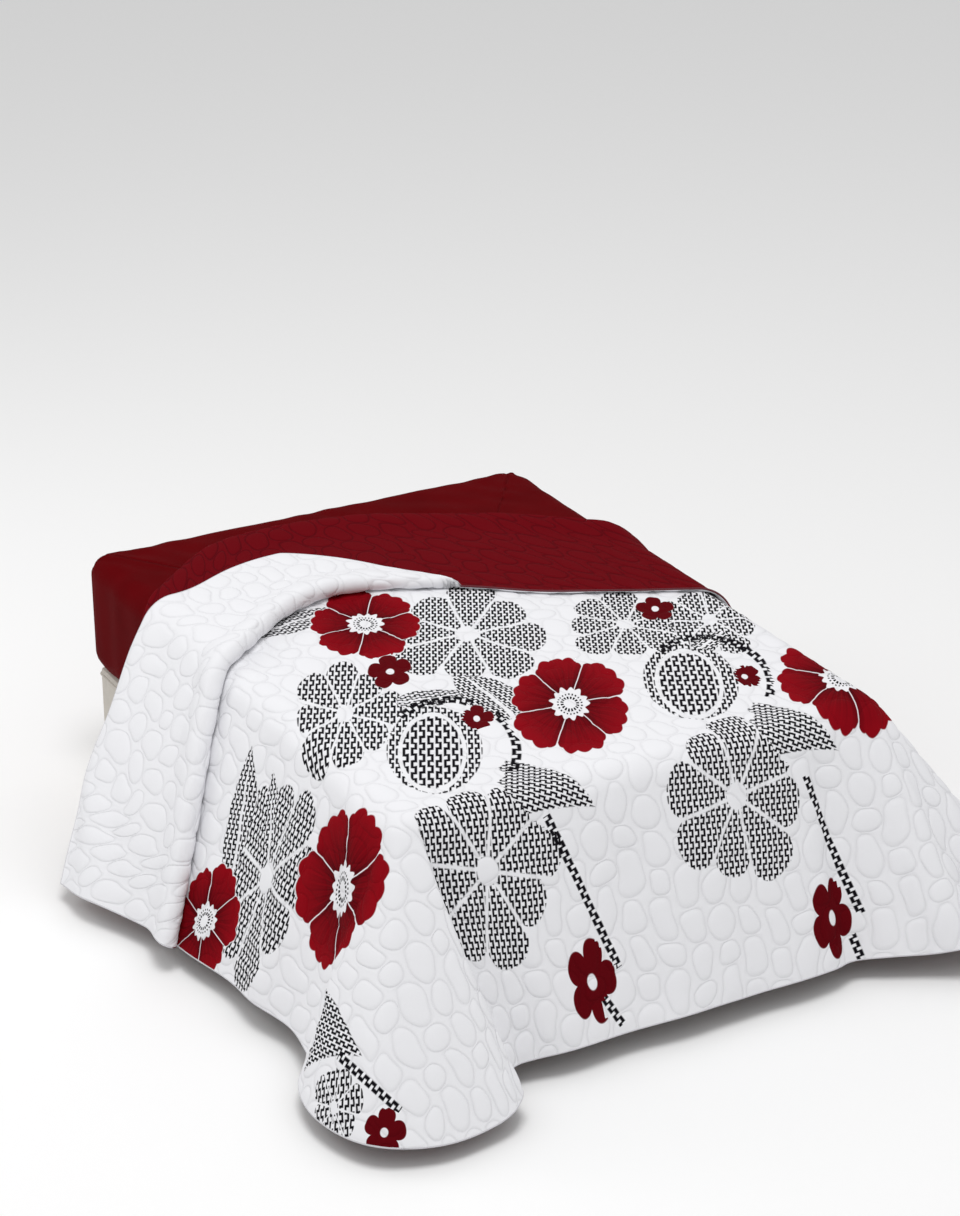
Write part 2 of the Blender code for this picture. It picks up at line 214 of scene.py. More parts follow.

# Soft creases laid on the drape. A ridge has a height over 0, a trough under 0.
CREASES = np.array([
    # start_across  start_along  end_across  end_along  width  height
    (-0.66, -0.70, -1.10, -0.98, 0.050, 0.012),
    (-0.60, -0.95, -0.66, -1.50, 0.045, -0.014),
    (-0.42, -1.00, -0.40, -1.52, 0.060, 0.010),
    (-0.12, -1.05, -0.10, -1.50, 0.060, -0.008),
    (0.10, -0.98, 0.14, -1.54, 0.060, 0.008),
    (0.47, -0.96, 0.47, -1.54, 0.035, -0.012),
    (0.60, -0.98, 0.70, -1.50, 0.050, 0.012),
    (-0.70, -0.30, -1.20, -0.36, 0.060, -0.009),
    (-0.72, -0.52, -1.28, -0.60, 0.060, 0.009),
    (0.72, -0.30, 1.25, -0.36, 0.060, 0.010),
    (0.72, -0.60, 1.25, -0.52, 0.055, -0.009),
    (0.72, 0.10, 1.25, 0.06, 0.060, -0.008),
])

# Quilting. Ovals stand in columns, a long one and a short one in turn in each column.
PEBBLE_SHAPE = """
along_column = v + 0.009 * sine(u * 21.0 + 1.3)
wander = 0.007 * sine(v * 23.0) + 0.004 * sine(v * 61.0 + u * 37.0)
over_columns = (u + wander) / 0.076
column = floor(over_columns)
side = (fract(over_columns) - 0.5) * 2.0
place = along_column / 0.185 + fract(column * 0.618034)
pair = floor(place)
run = fract(place)
split = 0.60 + 0.09 * sine(column * 2.4 + pair * 4.1)
short = greater_than(run, split)
long_way = (run - split * 0.5) / (split * 0.5)
short_way = (run - (split + 1.0) * 0.5) / ((1.0 - split) * 0.5)
way = long_way + short * (short_way - long_way)
width = 0.84 + 0.12 * sine(column * 5.1 + pair * 3.3 + short * 2.0)
oval = power(power(absolute(side / width), 2.4) + power(absolute(way) * 1.07, 2.4), 0.4167)
"""

# Stepped line, as if sewn in a square wave: side = place across it, place = way along it
MEANDER = """
step = 1.0 - 2.0 * greater_than(fract(place * 0.5), 0.5)
to_turn = 0.5 - absolute(fract(place) - 0.5)
run = 0.20 - absolute(side - 0.22 * step)
across = minimum(0.22 - to_turn, 0.42 - absolute(side))
meander = clamp(maximum(run, across) * 9.0 + 0.30)
"""

# Flower of eight round-ended petals in the thread print
THREAD_FLOWER = """
reach = sqrt(x * x + y * y)
turns = arctan2(y, x) * 1.27324 + seed
petal = fract(turns) - 0.5
which = floor(turns)
off_middle = absolute(petal) * 2.0
length = 0.90 + 0.10 * sine(which * 2.3562 + seed * 5.0)
end = length * (1.0 - 0.20 * power(off_middle, 3.0)) - reach
gap = (1.0 - off_middle) * reach * 0.3927 - 0.011
thread_flower = clamp(minimum(minimum(end, gap), reach - 0.13) * 60.0)
"""

# Pointed leaf with a bare midrib
THREAD_LEAF = """
leaf_width = power(maximum(1.0 - y * y, 0.0), 0.8) * (0.92 - 0.22 * y)
leaf_bend = x + 0.16 * y * y - 0.08
rib = absolute(leaf_bend) - 0.045 * (1.0 - y)
thread_leaf = clamp(minimum(leaf_width - absolute(leaf_bend), rib) * 30.0)
"""

# Broad pointed calyx leaf, widest at its base
THREAD_CALYX = """
calyx_side = (1.0 + y) * 0.55 - absolute(x + 0.15 * y * y)
calyx_base = 0.86 - y - 0.14 * absolute(sine(x * 6.0))
thread_calyx = clamp(minimum(calyx_side, calyx_base) * 30.0)
"""

# Round bud: an egg of stepped lines between two crescents
THREAD_BUD = """
heart_side = (x + 0.04) / 0.56
heart_way = (y + 0.06) / 0.72
heart = 1.0 - sqrt(heart_side * heart_side + heart_way * heart_way)
bud_edge = 0.86 - reach
in_heart = greater_than(heart, 0.0)
crescent = clamp(minimum(bud_edge, 0.0 - heart - 0.07) * 40.0)
egg = clamp(heart * 30.0 - 0.8)
"""

# Red flower of six broad petals with wavy ends and a white heart ringed with stitches
RED_FLOWER = """
rx_reach = sqrt(rx * rx + ry * ry)
red_angle = arctan2(ry, rx)
red_turns = red_angle * 0.95493 + rseed + 0.12 * rx_reach * sine(rseed * 9.0 + 2.0)
red_petal = fract(red_turns) - 0.5
red_which = floor(red_turns)
red_off = absolute(red_petal) * 2.0
red_length = 0.94 + 0.05 * sine(red_which * 2.0944 + rseed * 7.0)
red_lobes = 0.05 * absolute(cosine(red_petal * 12.566))
red_end = red_length * (1.0 - 0.20 * power(red_off, 5.0)) + red_lobes - 0.02 - rx_reach
red_gap = (1.0 - red_off) * rx_reach * 0.5236 - 0.004
red_heart = 0.285 + 0.030 * cosine(red_angle * 13.0) + 0.015 * sine(red_angle * 7.0)
red_mask = clamp(minimum(minimum(red_end, red_gap * 1.5), rx_reach - red_heart) * 70.0)
ring_one = 0.030 - absolute(rx_reach - 0.125)
ring_two = 0.020 - absolute(rx_reach - 0.190)
dash_one = 0.33 - absolute(fract(red_angle * 2.5465) - 0.5)
dash_two = 0.25 - absolute(fract(red_angle * 3.5014) - 0.5)
ring_ink = maximum(minimum(ring_one, dash_one * 0.2), minimum(ring_two, dash_two * 0.2))
ring_mask = clamp(ring_ink * 90.0)
red_streak = 0.5 + 0.5 * sine(red_angle * 57.0) * sine(red_angle * 23.0 + 1.0)
red_dark = clamp(1.35 - rx_reach * 1.5) * (0.45 + 0.55 * red_streak)
red_dark_edge = clamp(1.0 - red_gap * 9.0) * 0.35
"""

# Small red flower of five petals with a pale eye
SMALL_FLOWER = """
small_turns = red_angle * 0.79577 + rseed
small_petal = fract(small_turns) - 0.5
small_off = absolute(small_petal) * 2.0
small_end = 0.97 - 0.34 * power(small_off, 3.0) - rx_reach
small_mask = clamp(small_end * 30.0)
small_eye = clamp((0.20 - rx_reach) * 30.0)
"""

# How the print's layers cover each other
PRINT_LAYERS = """
is_flower = compare(kind, 1.0, 0.3)
is_leaf = compare(kind, 2.0, 0.3)
is_bud = compare(kind, 3.0, 0.3)
is_calyx = compare(kind, 4.0, 0.3)
filled = is_flower * thread_flower + is_leaf * thread_leaf + is_calyx * thread_calyx
bud_ink = maximum(thread * crescent, egg_line * egg)
lower_ink = thread * filled + is_bud * bud_ink
is_red = compare(rkind, 1.0, 0.3)
is_small = compare(rkind, 2.0, 0.3)
is_stem = compare(rkind, 3.0, 0.3) * less_than(absolute(ry), 1.0)
is_arc = compare(rkind, 5.0, 0.3) * greater_than(ry + 0.35, maximum(0.35 - rx * 0.84, 0.0))
red_cover = is_red * red_mask + is_small * small_mask * (1.0 - small_eye)
red_halo = is_red * clamp((red_end + 0.02) * 50.0)
upper_white = maximum(red_halo, is_small * small_mask)
upper_ink = is_red * ring_mask + is_stem * stem_line + is_arc * arc_line
red_shade = red_cover * clamp(is_red * (red_dark + red_dark_edge) + is_small * 0.75)
"""

# Fine relief of the sewn lines and the weave, and painted shade along the sewn lines, on the
# face only off the red flowers. The weave's threads are 2.4 mm apart, about six times the
# real spacing, so that they show.
SEWN_LINES = """
seam = absolute(oval - 1.0)
groove = clamp(1.0 - seam * 10.0)
valley = power(clamp(1.0 - seam * 4.0), 2.0)
groove_shade = groove * 0.05 * (1.0 - red_cover)
reverse_shade = groove * 0.45
weave = sine(u * 2600.0) * sine(v * 2600.0)
relief = 0.0 - valley + weave * 0.02
"""

# Strands of the hem, one each 3.5 mm along it, slanted round it, with painted shade between them
HEM_STRANDS = """
turn = s / 0.0035 + t * 0.4
strand = absolute(fract(turn) - 0.5) * 2.0
dip = (1.0 - strand) * 0.45
"""

# Plain weave of the base's linen, with slubs; between the threads its share is low, where painted
# shade darkens the cloth
LINEN_WEAVE = """
across = sine((x + y) * 1400.0)
up = sine(z * 1400.0)
weave = 0.25 + 0.25 * across * up + slub * 0.5
"""

# Where the stepped line runs: its name, and its side and place on each kind of motif
STEPPED_LINES = (
    ("thread", "fract(tx) - 0.5", "ty"),
    ("egg_line", "fract(tx * 0.8) - 0.5", "ty * 0.8"),
    ("arc_line", "(rx_reach - 0.85) * 6.4", "red_angle * 11.5"),
    ("stem_line", "rtx * 0.6", "rty"),
)

# Kinds of motif in the print's two layers
FLOWER, LEAF, BUD, CALYX = 1, 2, 3, 4
RED, SMALL, STEM, ARC = 1, 2, 3, 5

# Lower layer: thread-patterned motifs. photo_x, photo_y = the point of the photo, in pixels,
# where the motif's middle shows; lean = degrees from +Y of the motif's length.
THREAD_MOTIFS = np.array([
    # kind  photo_x  photo_y  half_width  half_length  lean  seed
    (FLOWER, 269, 878, 0.210, 0.300, 90, 0.10),
    (FLOWER, 345, 715, 0.150, 0.330, 28, 0.35),
    (FLOWER, 467, 635, 0.230, 0.340, 28, 0.60),
    (FLOWER, 487, 871, 0.210, 0.260, 8, 0.20),
    (FLOWER, 735, 795, 0.215, 0.250, 8, 0.70),
    (FLOWER, 625, 625, 0.175, 0.230, 28, 0.45),
    (FLOWER, 710, 621, 0.150, 0.240, 28, 0.90),
    (FLOWER, 335, 1109, 0.090, 0.120, 45, 0.30),
    (BUD, 435, 750, 0.138, 0.275, 28, 0.0),
    (BUD, 691, 681, 0.142, 0.265, 28, 0.0),
    (LEAF, 295, 622, 0.060, 0.160, 80, 0.0),
    (LEAF, 432, 698, 0.055, 0.110, 100, 0.0),
    (LEAF, 240, 820, 0.060, 0.190, 70, 0.0),
    (LEAF, 486, 696, 0.080, 0.160, 0, 0.0),
    (LEAF, 714, 638, 0.060, 0.110, 60, 0.0),
    (LEAF, 270, 830, 0.050, 0.150, 60, 0.0),
    (CALYX, 546, 785, 0.130, 0.140, -60, 0.0),
    (CALYX, 795, 728, 0.125, 0.140, -60, 0.0),
    (CALYX, 332, 1035, 0.110, 0.130, -20, 0.0),
])

# Upper layer: red flowers and the stepped arcs beside the buds
RED_MOTIFS = np.array([
    # kind  photo_x  photo_y  half_width  half_length  lean  seed
    (RED, 345, 890, 0.200, 0.215, 90, 0.20),
    (RED, 365, 625, 0.158, 0.225, 28, 0.55),
    (RED, 570, 705, 0.158, 0.290, 28, 0.80),
    (RED, 840, 680, 0.165, 0.260, 28, 0.35),
    (RED, 205, 922, 0.130, 0.160, 90, 0.10),
    (SMALL, 390, 672, 0.060, 0.105, 28, 0.1),
    (SMALL, 477, 720, 0.046, 0.085, 28, 0.3),
    (SMALL, 592, 982, 0.072, 0.112, 0, 0.5),
    (SMALL, 833, 918, 0.070, 0.110, 0, 0.7),
    (SMALL, 655, 610, 0.055, 0.085, 28, 0.2),
    (SMALL, 745, 677, 0.046, 0.080, 28, 0.9),
    (SMALL, 385, 1133, 0.060, 0.060, 45, 0.4),
    (ARC, 450, 751, 0.190, 0.330, 28, 0.0),
    (ARC, 710, 679, 0.180, 0.300, 28, 0.0),
])

# Stepped stems, by the photo points of their upper and lower ends
STEM_HALF_WIDTH = 0.030
STEM_ENDS = np.array([
    # top_x  top_y  foot_x  foot_y
    (340, 1055, 400, 1110),
    (545, 815, 618, 968),
    (598, 990, 622, 1025),
    (805, 775, 862, 912),
    (852, 935, 862, 960),
])


def smooth_through(places, values, at):
    """Cubic through a table's rows, with each row's slope taken from its neighbours."""
    step = np.diff(places)
    rise = np.diff(values) / step
    slope = np.empty_like(values)
    slope[0] = rise[0]
    slope[-1] = rise[-1]
    slope[1:-1] = (rise[:-1] * step[1:] + rise[1:] * step[:-1]) / (step[1:] + step[:-1])
    at = np.clip(at, places[0], places[-1])
    row = np.clip(np.searchsorted(places, at) - 1, 0, len(step) - 1)
    width = step[row]
    t = (at - places[row]) / width
    start = (1 + 2 * t) * (1 - t) ** 2 * values[row]
    end = t * t * (3 - 2 * t) * values[row + 1]
    leave = t * (1 - t) ** 2 * width * slope[row]
    arrive = t * t * (t - 1) * width * slope[row + 1]
    return start + end + leave + arrive


def ease(t):
    """Smooth step from 0 to 1."""
    t = np.clip(t, 0.0, 1.0)
    return t * t * (3 - 2 * t)


def table_value(table, column, at):
    """One named column of a table, read at the given places."""
    return smooth_through(table[:, 0], table[:, column], at)


def hem_length(across, along, share):
    """Cloth from where the flat top ends to the hem, for any place past that edge."""
    left = across < 0
    side = np.where(left, table_value(SIDE_DROP, 2, along), table_value(SIDE_DROP, 4, along))
    foot = table_value(FOOT_DROP, 3, across)
    corner = np.where(left,
                      table_value(LEFT_CORNER, 3, share), table_value(RIGHT_CORNER, 3, share))
    past_side = np.abs(across) > SIDE_EDGE
    past_foot = along < -FOOT_EDGE
    return np.where(past_side & past_foot, corner, np.where(past_side, side, foot))


def drop_direction(across, along, share):
    """Lean of each metre of hanging cloth: to its own side, to the foot, and inward."""
    left = across < 0
    side = np.where(left, table_value(SIDE_DROP, 1, along), table_value(SIDE_DROP, 3, along))
    lean = table_value(FOOT_DROP, 1, across)
    foot = table_value(FOOT_DROP, 2, across)
    corner_side = np.where(left,
                           table_value(LEFT_CORNER, 1, share), table_value(RIGHT_CORNER, 1, share))
    corner_foot = np.where(left,
                           table_value(LEFT_CORNER, 2, share), table_value(RIGHT_CORNER, 2, share))
    length = hem_length(across, along, share)
    in_corner = (np.abs(across) > SIDE_EDGE) & (along < -FOOT_EDGE)
    on_side = (np.abs(across) > SIDE_EDGE) & ~in_corner
    sideways = np.where(on_side, side, np.maximum(corner_side, 0.0) * in_corner) / length
    footward = np.where(on_side, 0.0, np.where(in_corner, corner_foot, foot)) / length
    inward = np.where(in_corner, np.maximum(-corner_side, 0.0), lean) / length
    inward = np.where(on_side, 0.0, inward)
    return sideways, footward, inward


def drape(across, along):
    """Middle of the cloth for a place on the flat quilt.

    Flat on the mattress; past its edge the cloth goes round the edge radius and then runs
    straight down and out, in the direction that the tables give. In the corners the
    direction turns with the angle round the corner, as on a cone. Cloth that swings inward
    along the foot does so from a little below the edge.
    """
    past_side = np.maximum(np.abs(across) - SIDE_EDGE, 0.0)
    past_foot = np.maximum(-along - FOOT_EDGE, 0.0)
    hanging = np.hypot(past_side, past_foot)
    share = np.arctan2(past_foot, past_side) / QUARTER_TURN
    sideways, footward, inward = drop_direction(across, along, share)
    outward = np.hypot(sideways, footward)
    flare = np.arcsin(outward)
    bend = np.minimum(hanging / EDGE_RADIUS, QUARTER_TURN - flare)
    straight = hanging - EDGE_RADIUS * bend
    out = EDGE_RADIUS * np.sin(bend) + straight * outward
    down = EDGE_RADIUS * (1 - np.cos(bend))
    down = down + straight * np.sqrt(1 - outward ** 2 - inward ** 2)
    swing = inward * (straight - SWING_START * (1 - np.exp(-straight / SWING_START)))
    swell = np.sin(across * FULL_TURN / TOP_SWELL_PITCH[0] + 0.7)
    swell = swell * np.sin(along * FULL_TURN / TOP_SWELL_PITCH[1] + 0.4) + 1.0
    inside = ease((SIDE_EDGE - np.abs(across)) / 0.3) * ease((along + FOOT_EDGE) / 0.3)
    place = np.empty(np.shape(across) + (3,))
    beside = np.clip(across, -SIDE_EDGE, SIDE_EDGE)
    place[..., 0] = beside + np.sign(across) * out * sideways / outward + swing
    place[..., 1] = np.maximum(along, -FOOT_EDGE) - out * footward / outward
    place[..., 2] = QUILT_TOP - down + TOP_SWELL / 2 * swell * inside
    return place


def drape_normal(across, along, reach=0.002):
    """Outward unit normal of the drape, from places a little to each side."""
    run = drape(across + reach, along) - drape(across - reach, along)
    rise = drape(across, along + reach) - drape(across, along - reach)
    normal = np.cross(run, rise)
    return normal / np.linalg.norm(normal, axis=-1, keepdims=True)


def turn_down_lines(across):
    """Head fold, roll line, cloth past the roll and radius of the roll, at each place."""
    head_fold = table_value(TURN_DOWN, 1, across)
    roll = table_value(TURN_DOWN, 2, across)
    back = table_value(TURN_DOWN, 3, np.minimum(across, BACK_END_START))
    toward_tip = (across - BACK_END_START) / (BACK_END_TIP - BACK_END_START)
    toward_tip = np.clip(toward_tip, 0.0, 1.0)
    rounded = (1 - toward_tip ** BACK_END_ROUNDNESS) ** (1 / BACK_END_ROUNDNESS)
    radius = BACK_ROLL_RADIUS + (TIP_ROLL_RADIUS - BACK_ROLL_RADIUS) * toward_tip
    return head_fold, roll, back * rounded, radius


def end_path(travel, head_fold, roll, roll_radius):
    """Place along the bed and height over the lowest layer, for cloth travelled from Y = 0.

    The cloth runs to the head fold, goes over it in a half circle, comes back down the bed
    to the roll, goes over that in a half circle and runs up the bed again. After each half
    circle it settles on the layer below it, and the turned-back cloth rides over the bulge
    of the head fold.
    """
    head_centre = head_fold - HEAD_FOLD_RADIUS
    roll_centre = roll + roll_radius
    head_arc = np.pi * HEAD_FOLD_RADIUS
    roll_arc = np.pi * roll_radius
    past_head = np.clip(travel - head_centre, 0.0, head_arc)
    flap_run = np.clip(travel - head_centre - head_arc, 0.0, head_centre - roll_centre)
    flap_end = head_centre + head_arc + (head_centre - roll_centre)
    past_roll = np.clip(travel - flap_end, 0.0, roll_arc)
    back_run = np.maximum(travel - flap_end - roll_arc, 0.0)
    along = np.minimum(travel, head_centre)
    along = along + HEAD_FOLD_RADIUS * np.sin(past_head / HEAD_FOLD_RADIUS) - flap_run
    along = along - roll_radius * np.sin(past_roll / roll_radius) + back_run
    bulge = 2 * HEAD_FOLD_RADIUS - LAYER_PITCH
    height = HEAD_FOLD_RADIUS * (1 - np.cos(past_head / HEAD_FOLD_RADIUS))
    height = height - bulge * ease(flap_run / FOLD_SETTLE)
    height = height + roll_radius * (1 - np.cos(past_roll / roll_radius))
    height = height - (2 * roll_radius - LAYER_PITCH) * ease(back_run / FOLD_SETTLE)
    over = 1 - ease((head_centre - along) / FOLD_SETTLE)
    over = over * (1 - ease((along - head_centre) / OVERHANG_SETTLE))
    return along, height + (bulge + RIDING_GAP) * over * (back_run > 0)


def places_across(drop_cells, edge_cells, top_cells):
    """Grid places across the flat quilt, hem to hem."""
    bend_end = SIDE_EDGE + EDGE_RADIUS * 1.3
    hem = SIDE_EDGE + QUILT_DROP
    half = np.concatenate([
        np.linspace(SIDE_EDGE, bend_end, edge_cells, endpoint=False),
        np.linspace(bend_end, hem, drop_cells + 1),
    ])
    top = np.linspace(-SIDE_EDGE, SIDE_EDGE, top_cells, endpoint=False)
    return np.concatenate([-half[:0:-1], top, half])


def rows_along(across, cells):
    """Cloth travelled at each row of the grid, for every place across (rows, columns)."""
    head_fold, roll, back, roll_radius = turn_down_lines(across)
    hem = -FOOT_EDGE - QUILT_DROP
    bend_end = -FOOT_EDGE - EDGE_RADIUS * 1.3
    head_start = head_fold - HEAD_FOLD_RADIUS
    head_end = head_start + np.pi * HEAD_FOLD_RADIUS
    roll_start = head_end + (head_start - roll - roll_radius)
    flat_end = roll_start + roll_radius
    turned = ease(back / (2 * np.pi * roll_radius))
    end = flat_end + (roll_start - flat_end) * turned + back
    flap_knot = turned * roll_start + (1 - turned) * (head_end + 0.45 * (end - head_end))
    roll_end = roll_start + np.pi * roll_radius
    roll_knot = turned * roll_end + (1 - turned) * (head_end + 0.75 * (end - head_end))
    roll_knot = np.minimum(roll_knot, flap_knot + 0.7 * (end - flap_knot))
    one = np.ones_like(across)
    knots = np.array([hem * one, bend_end * one, -FOOT_EDGE * one, head_start, head_end,
                      flap_knot, roll_knot, end])
    places = np.concatenate([[0.0]] + [np.arange(count) / count + band for band, count
                                       in enumerate(cells)])[1:]
    places = np.append(places, len(cells))
    band = np.minimum(places.astype(int), len(cells) - 1)
    part = (places - band)[:, None]
    return knots[band] * (1 - part) + knots[band + 1] * part


def cut_outline(across, along):
    """Places on the quilt as it is cut: its hem drawn to the tables' lengths, and its
    square foot corners brought in to their rounded outline."""
    x = np.clip((np.abs(across) - SIDE_EDGE) / QUILT_DROP, 0.0, 1.0)
    y = np.clip((-along - FOOT_EDGE) / QUILT_DROP, 0.0, 1.0)
    disc_x = x * np.sqrt(1 - y * y / 2)
    disc_y = y * np.sqrt(1 - x * x / 2)
    share = np.arctan2(disc_y, disc_x) / QUARTER_TURN
    hanging = np.hypot(disc_x, disc_y)
    grow = QUILT_DROP + (hem_length(across, along, share) - QUILT_DROP) * hanging
    new_across = np.sign(across) * (SIDE_EDGE + disc_x * grow)
    new_along = -FOOT_EDGE - disc_y * grow
    return np.where(x > 0, new_across, across), np.where(y > 0, new_along, along)


def photo_places(points):
    """Place on the flat cloth that shows at each point of the photo.

    Every place on a fine grid of the drape that faces the camera is projected: its offset
    across and up the picture, over its distance ahead of the camera, times the focal length
    in pixels. Of those that land near enough to the point, the nearest to the camera shows.
    """
    side_hem, foot_hem = SIDE_EDGE + QUILT_DROP, FOOT_EDGE + QUILT_DROP
    places = np.meshgrid(np.arange(-side_hem, side_hem, SEEN_STEP),
                         np.arange(-foot_hem, SEEN_HEAD_END, SEEN_STEP))
    across, along = (values.ravel() for values in cut_outline(*places))
    surface = drape(across, along)
    ray = surface - CAMERA_PLACE
    ahead = np.subtract(CAMERA_AIM, CAMERA_PLACE)
    right = np.cross(ahead, (0.0, 0.0, 1.0))
    up = np.cross(right, ahead)
    ahead, right, up = (axis / np.linalg.norm(axis) for axis in (ahead, right, up))
    focal = CAMERA_LENS / CAMERA_SENSOR * max(PHOTO_SIZE)
    shown_x = PHOTO_SIZE[0] / 2 + focal * (ray @ right) / (ray @ ahead)
    shown_y = PHOTO_SIZE[1] / 2 - focal * (ray @ up) / (ray @ ahead)
    distance = np.linalg.norm(ray, axis=-1)
    facing = np.sum(drape_normal(across, along) * ray, axis=-1) < 0
    found = []
    for x, y in points:
        miss = np.hypot(shown_x - x, shown_y - y)
        near = np.flatnonzero(facing & (miss < SEEN_WITHIN))
        if len(near) == 0:
            raise ValueError(f"no cloth shows at photo point {x:g}, {y:g}")
        best = near[np.argmin(distance[near] + miss[near] * SEEN_PER_PIXEL)]
        found.append((across[best], along[best]))
    return np.array(found)


def print_layers():
    """The print's two layers as motif rows, with their middles on the flat cloth. A stem
    stands halfway between its ends and leans along them."""
    lower, upper = THREAD_MOTIFS.copy(), RED_MOTIFS.copy()
    for motifs in (lower, upper):
        motifs[:, 1:3] = photo_places(motifs[:, 1:3])
    top, foot = photo_places(STEM_ENDS[:, :2]), photo_places(STEM_ENDS[:, 2:])
    run = top - foot
    one = np.ones(len(run))
    stems = np.column_stack([STEM * one, (top + foot) / 2, STEM_HALF_WIDTH * one,
                             np.hypot(*run.T) / 2, np.degrees(np.arctan2(*run.T)), 0 * one])
    return lower, np.concatenate([upper, stems])


def grid_normals(points):
    """Unit normals of a grid of points, from its neighbours."""
    run = np.gradient(points, axis=1)
    rise = np.gradient(points, axis=0)
    normal = np.cross(run, rise)
    return normal / np.linalg.norm(normal, axis=-1, keepdims=True)


def crease_height(across, along):
    """Height of the listed creases: a bell across each crease, eased out at its ends."""
    height = np.zeros_like(across)
    for start_x, start_y, end_x, end_y, width, rise in CREASES:
        run_x, run_y = end_x - start_x, end_y - start_y
        length = np.hypot(run_x, run_y)
        share = ((across - start_x) * run_x + (along - start_y) * run_y) / length ** 2
        off = ((across - start_x) * run_y - (along - start_y) * run_x) / length
        ends = ease(share / 0.4 + 0.2) * ease((1.15 - share) / 0.2)
        height = height + rise * np.exp(-(off / width) ** 2) * ends
    return height


ARRAY_STEPS = {
    "ADD": np.add, "SUBTRACT": np.subtract, "MULTIPLY": np.multiply, "DIVIDE": np.divide,
    "SINE": np.sin, "FLOOR": np.floor, "FRACT": lambda x: x - np.floor(x),
    "ABSOLUTE": np.abs, "POWER": np.power, "GREATER_THAN": np.greater,
}
SIGNS = {ast.Add: "ADD", ast.Sub: "SUBTRACT", ast.Mult: "MULTIPLY", ast.Div: "DIVIDE"}


def work_out(formulas, values, take_step):
    """Work out lines of the form name = formula, one step at a time, and keep each name.

    take_step(step, inputs...) does one sum, on arrays or by adding a node.
    """
    def part(piece):
        if isinstance(piece, ast.Constant):
            return piece.value
        if isinstance(piece, ast.Name):
            return values[piece.id]
        if isinstance(piece, ast.BinOp):
            return take_step(SIGNS[type(piece.op)], part(piece.left), part(piece.right))
        return take_step(piece.func.id.upper(), *[part(given) for given in piece.args])

    for line in ast.parse(formulas).body:
        values[line.targets[0].id] = part(line.value)
    return values


def pebble_relief(across, travel):
    """Height from 0 to 1 of the quilting: a dome in each oval, its seam at 0, and a low
    puff in the gaps between ovals."""
    values = work_out(PEBBLE_SHAPE, {"u": across, "v": travel},
                      lambda step, *inputs: ARRAY_STEPS[step](*inputs))
    oval = values["oval"]
    dome = np.sqrt(np.clip(1 - oval ** 2.4, 0.0, 1.0))
    gap = 0.30 * (1 - np.exp(-((oval - 1) / 0.16) ** 2))
    return np.where(oval < 1, dome, gap)


def quilt_grid(columns_cells, rows_cells, creases):
    """Grid of the draped quilt: its middle, its normals, its place on the flat cloth, and
    1 where its reverse is up."""
    columns = places_across(*columns_cells)
    travel = rows_along(columns, rows_cells)
    across = np.broadcast_to(columns, travel.shape)
    head_fold, roll, _, roll_radius = turn_down_lines(across)
    along, height = end_path(travel, head_fold, roll, roll_radius)
    uncovered = ease((roll - 0.02 - travel) / 0.10)
    across, along = cut_outline(across, along)
    outward = drape_normal(across, along)
    middle = drape(across, along) + height[..., None] * outward
    on_cloth = np.where(travel < -FOOT_EDGE, along, travel)
    crease = creases * uncovered * crease_height(across, on_cloth)
    middle = middle + crease[..., None] * grid_normals(middle)
    normal = grid_normals(middle)
    turned = (np.sum(normal * outward, axis=-1) < 0).astype(float)
    return middle, normal, across, on_cloth, turned


def rim_order(rows, columns):
    """Grid indices round the rim, once round."""
    index = np.arange(rows * columns).reshape(rows, columns)
    return np.concatenate([index[0, :-1], index[:-1, -1], index[-1, :0:-1], index[:0:-1, 0]])


def rim_fade(shape, cells):
    """1 inside the grid and 0 on its rim, eased over a few cells."""
    rows = np.arange(shape[0])[:, None]
    columns = np.arange(shape[1])[None, :]
    inside = np.minimum(np.minimum(rows, shape[0] - 1 - rows),
                        np.minimum(columns, shape[1] - 1 - columns))
    return ease(inside / cells)


def grid_faces(rows, columns, around=False, flipped=False):
    """Quads of a grid; around joins the last column to the first."""
    index = np.arange(rows * columns).reshape(rows, columns)
    if around:
        index = np.concatenate([index, index[:, :1]], axis=1)
    quads = np.stack([index[:-1, :-1], index[:-1, 1:], index[1:, 1:], index[1:, :-1]], axis=-1)
    quads = quads.reshape(-1, 4)
    return quads[:, ::-1] if flipped else quads


def add_piece(name, points, faces, material):
    """Put a mesh of points and faces into the scene as one piece that rides on the bed."""
    mesh = bpy.data.meshes.new(name)
    points = np.asarray(points, np.float32).reshape(-1, 3)
    mesh.vertices.add(len(points))
    mesh.vertices.foreach_set("co", points.ravel())
    sizes = np.array([len(face) for face in faces]) if isinstance(faces, list) else None
    corners = np.concatenate(faces) if sizes is not None else faces.ravel()
    if sizes is None:
        sizes = np.full(len(faces), faces.shape[1])
    mesh.loops.add(len(corners))
    mesh.loops.foreach_set("vertex_index", corners.astype(np.int32))
    mesh.polygons.add(len(sizes))
    starts = np.concatenate([[0], np.cumsum(sizes)[:-1]])
    mesh.polygons.foreach_set("loop_start", starts.astype(np.int32))
    mesh.update(calc_edges=True)
    mesh.validate()
    mesh.shade_smooth()
    mesh.materials.append(material)
    piece = bpy.data.objects.new(name, mesh)
    bpy.context.scene.collection.objects.link(piece)
    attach(piece, "root")
    return piece


def corner_values(piece, values):
    """Values per point spread to the piece's face corners."""
    corners = np.empty(len(piece.data.loops), np.int32)
    piece.data.loops.foreach_get("vertex_index", corners)
    return values.reshape(-1, values.shape[-1])[corners]


def add_cloth_map(piece, across, travel):
    """UV map that holds the place on the flat cloth, in metres."""
    places = np.stack([across, travel], axis=-1)
    layer = piece.data.uv_layers.new(name="cut")
    layer.data.foreach_set("uv", corner_values(piece, places).astype(np.float32).ravel())


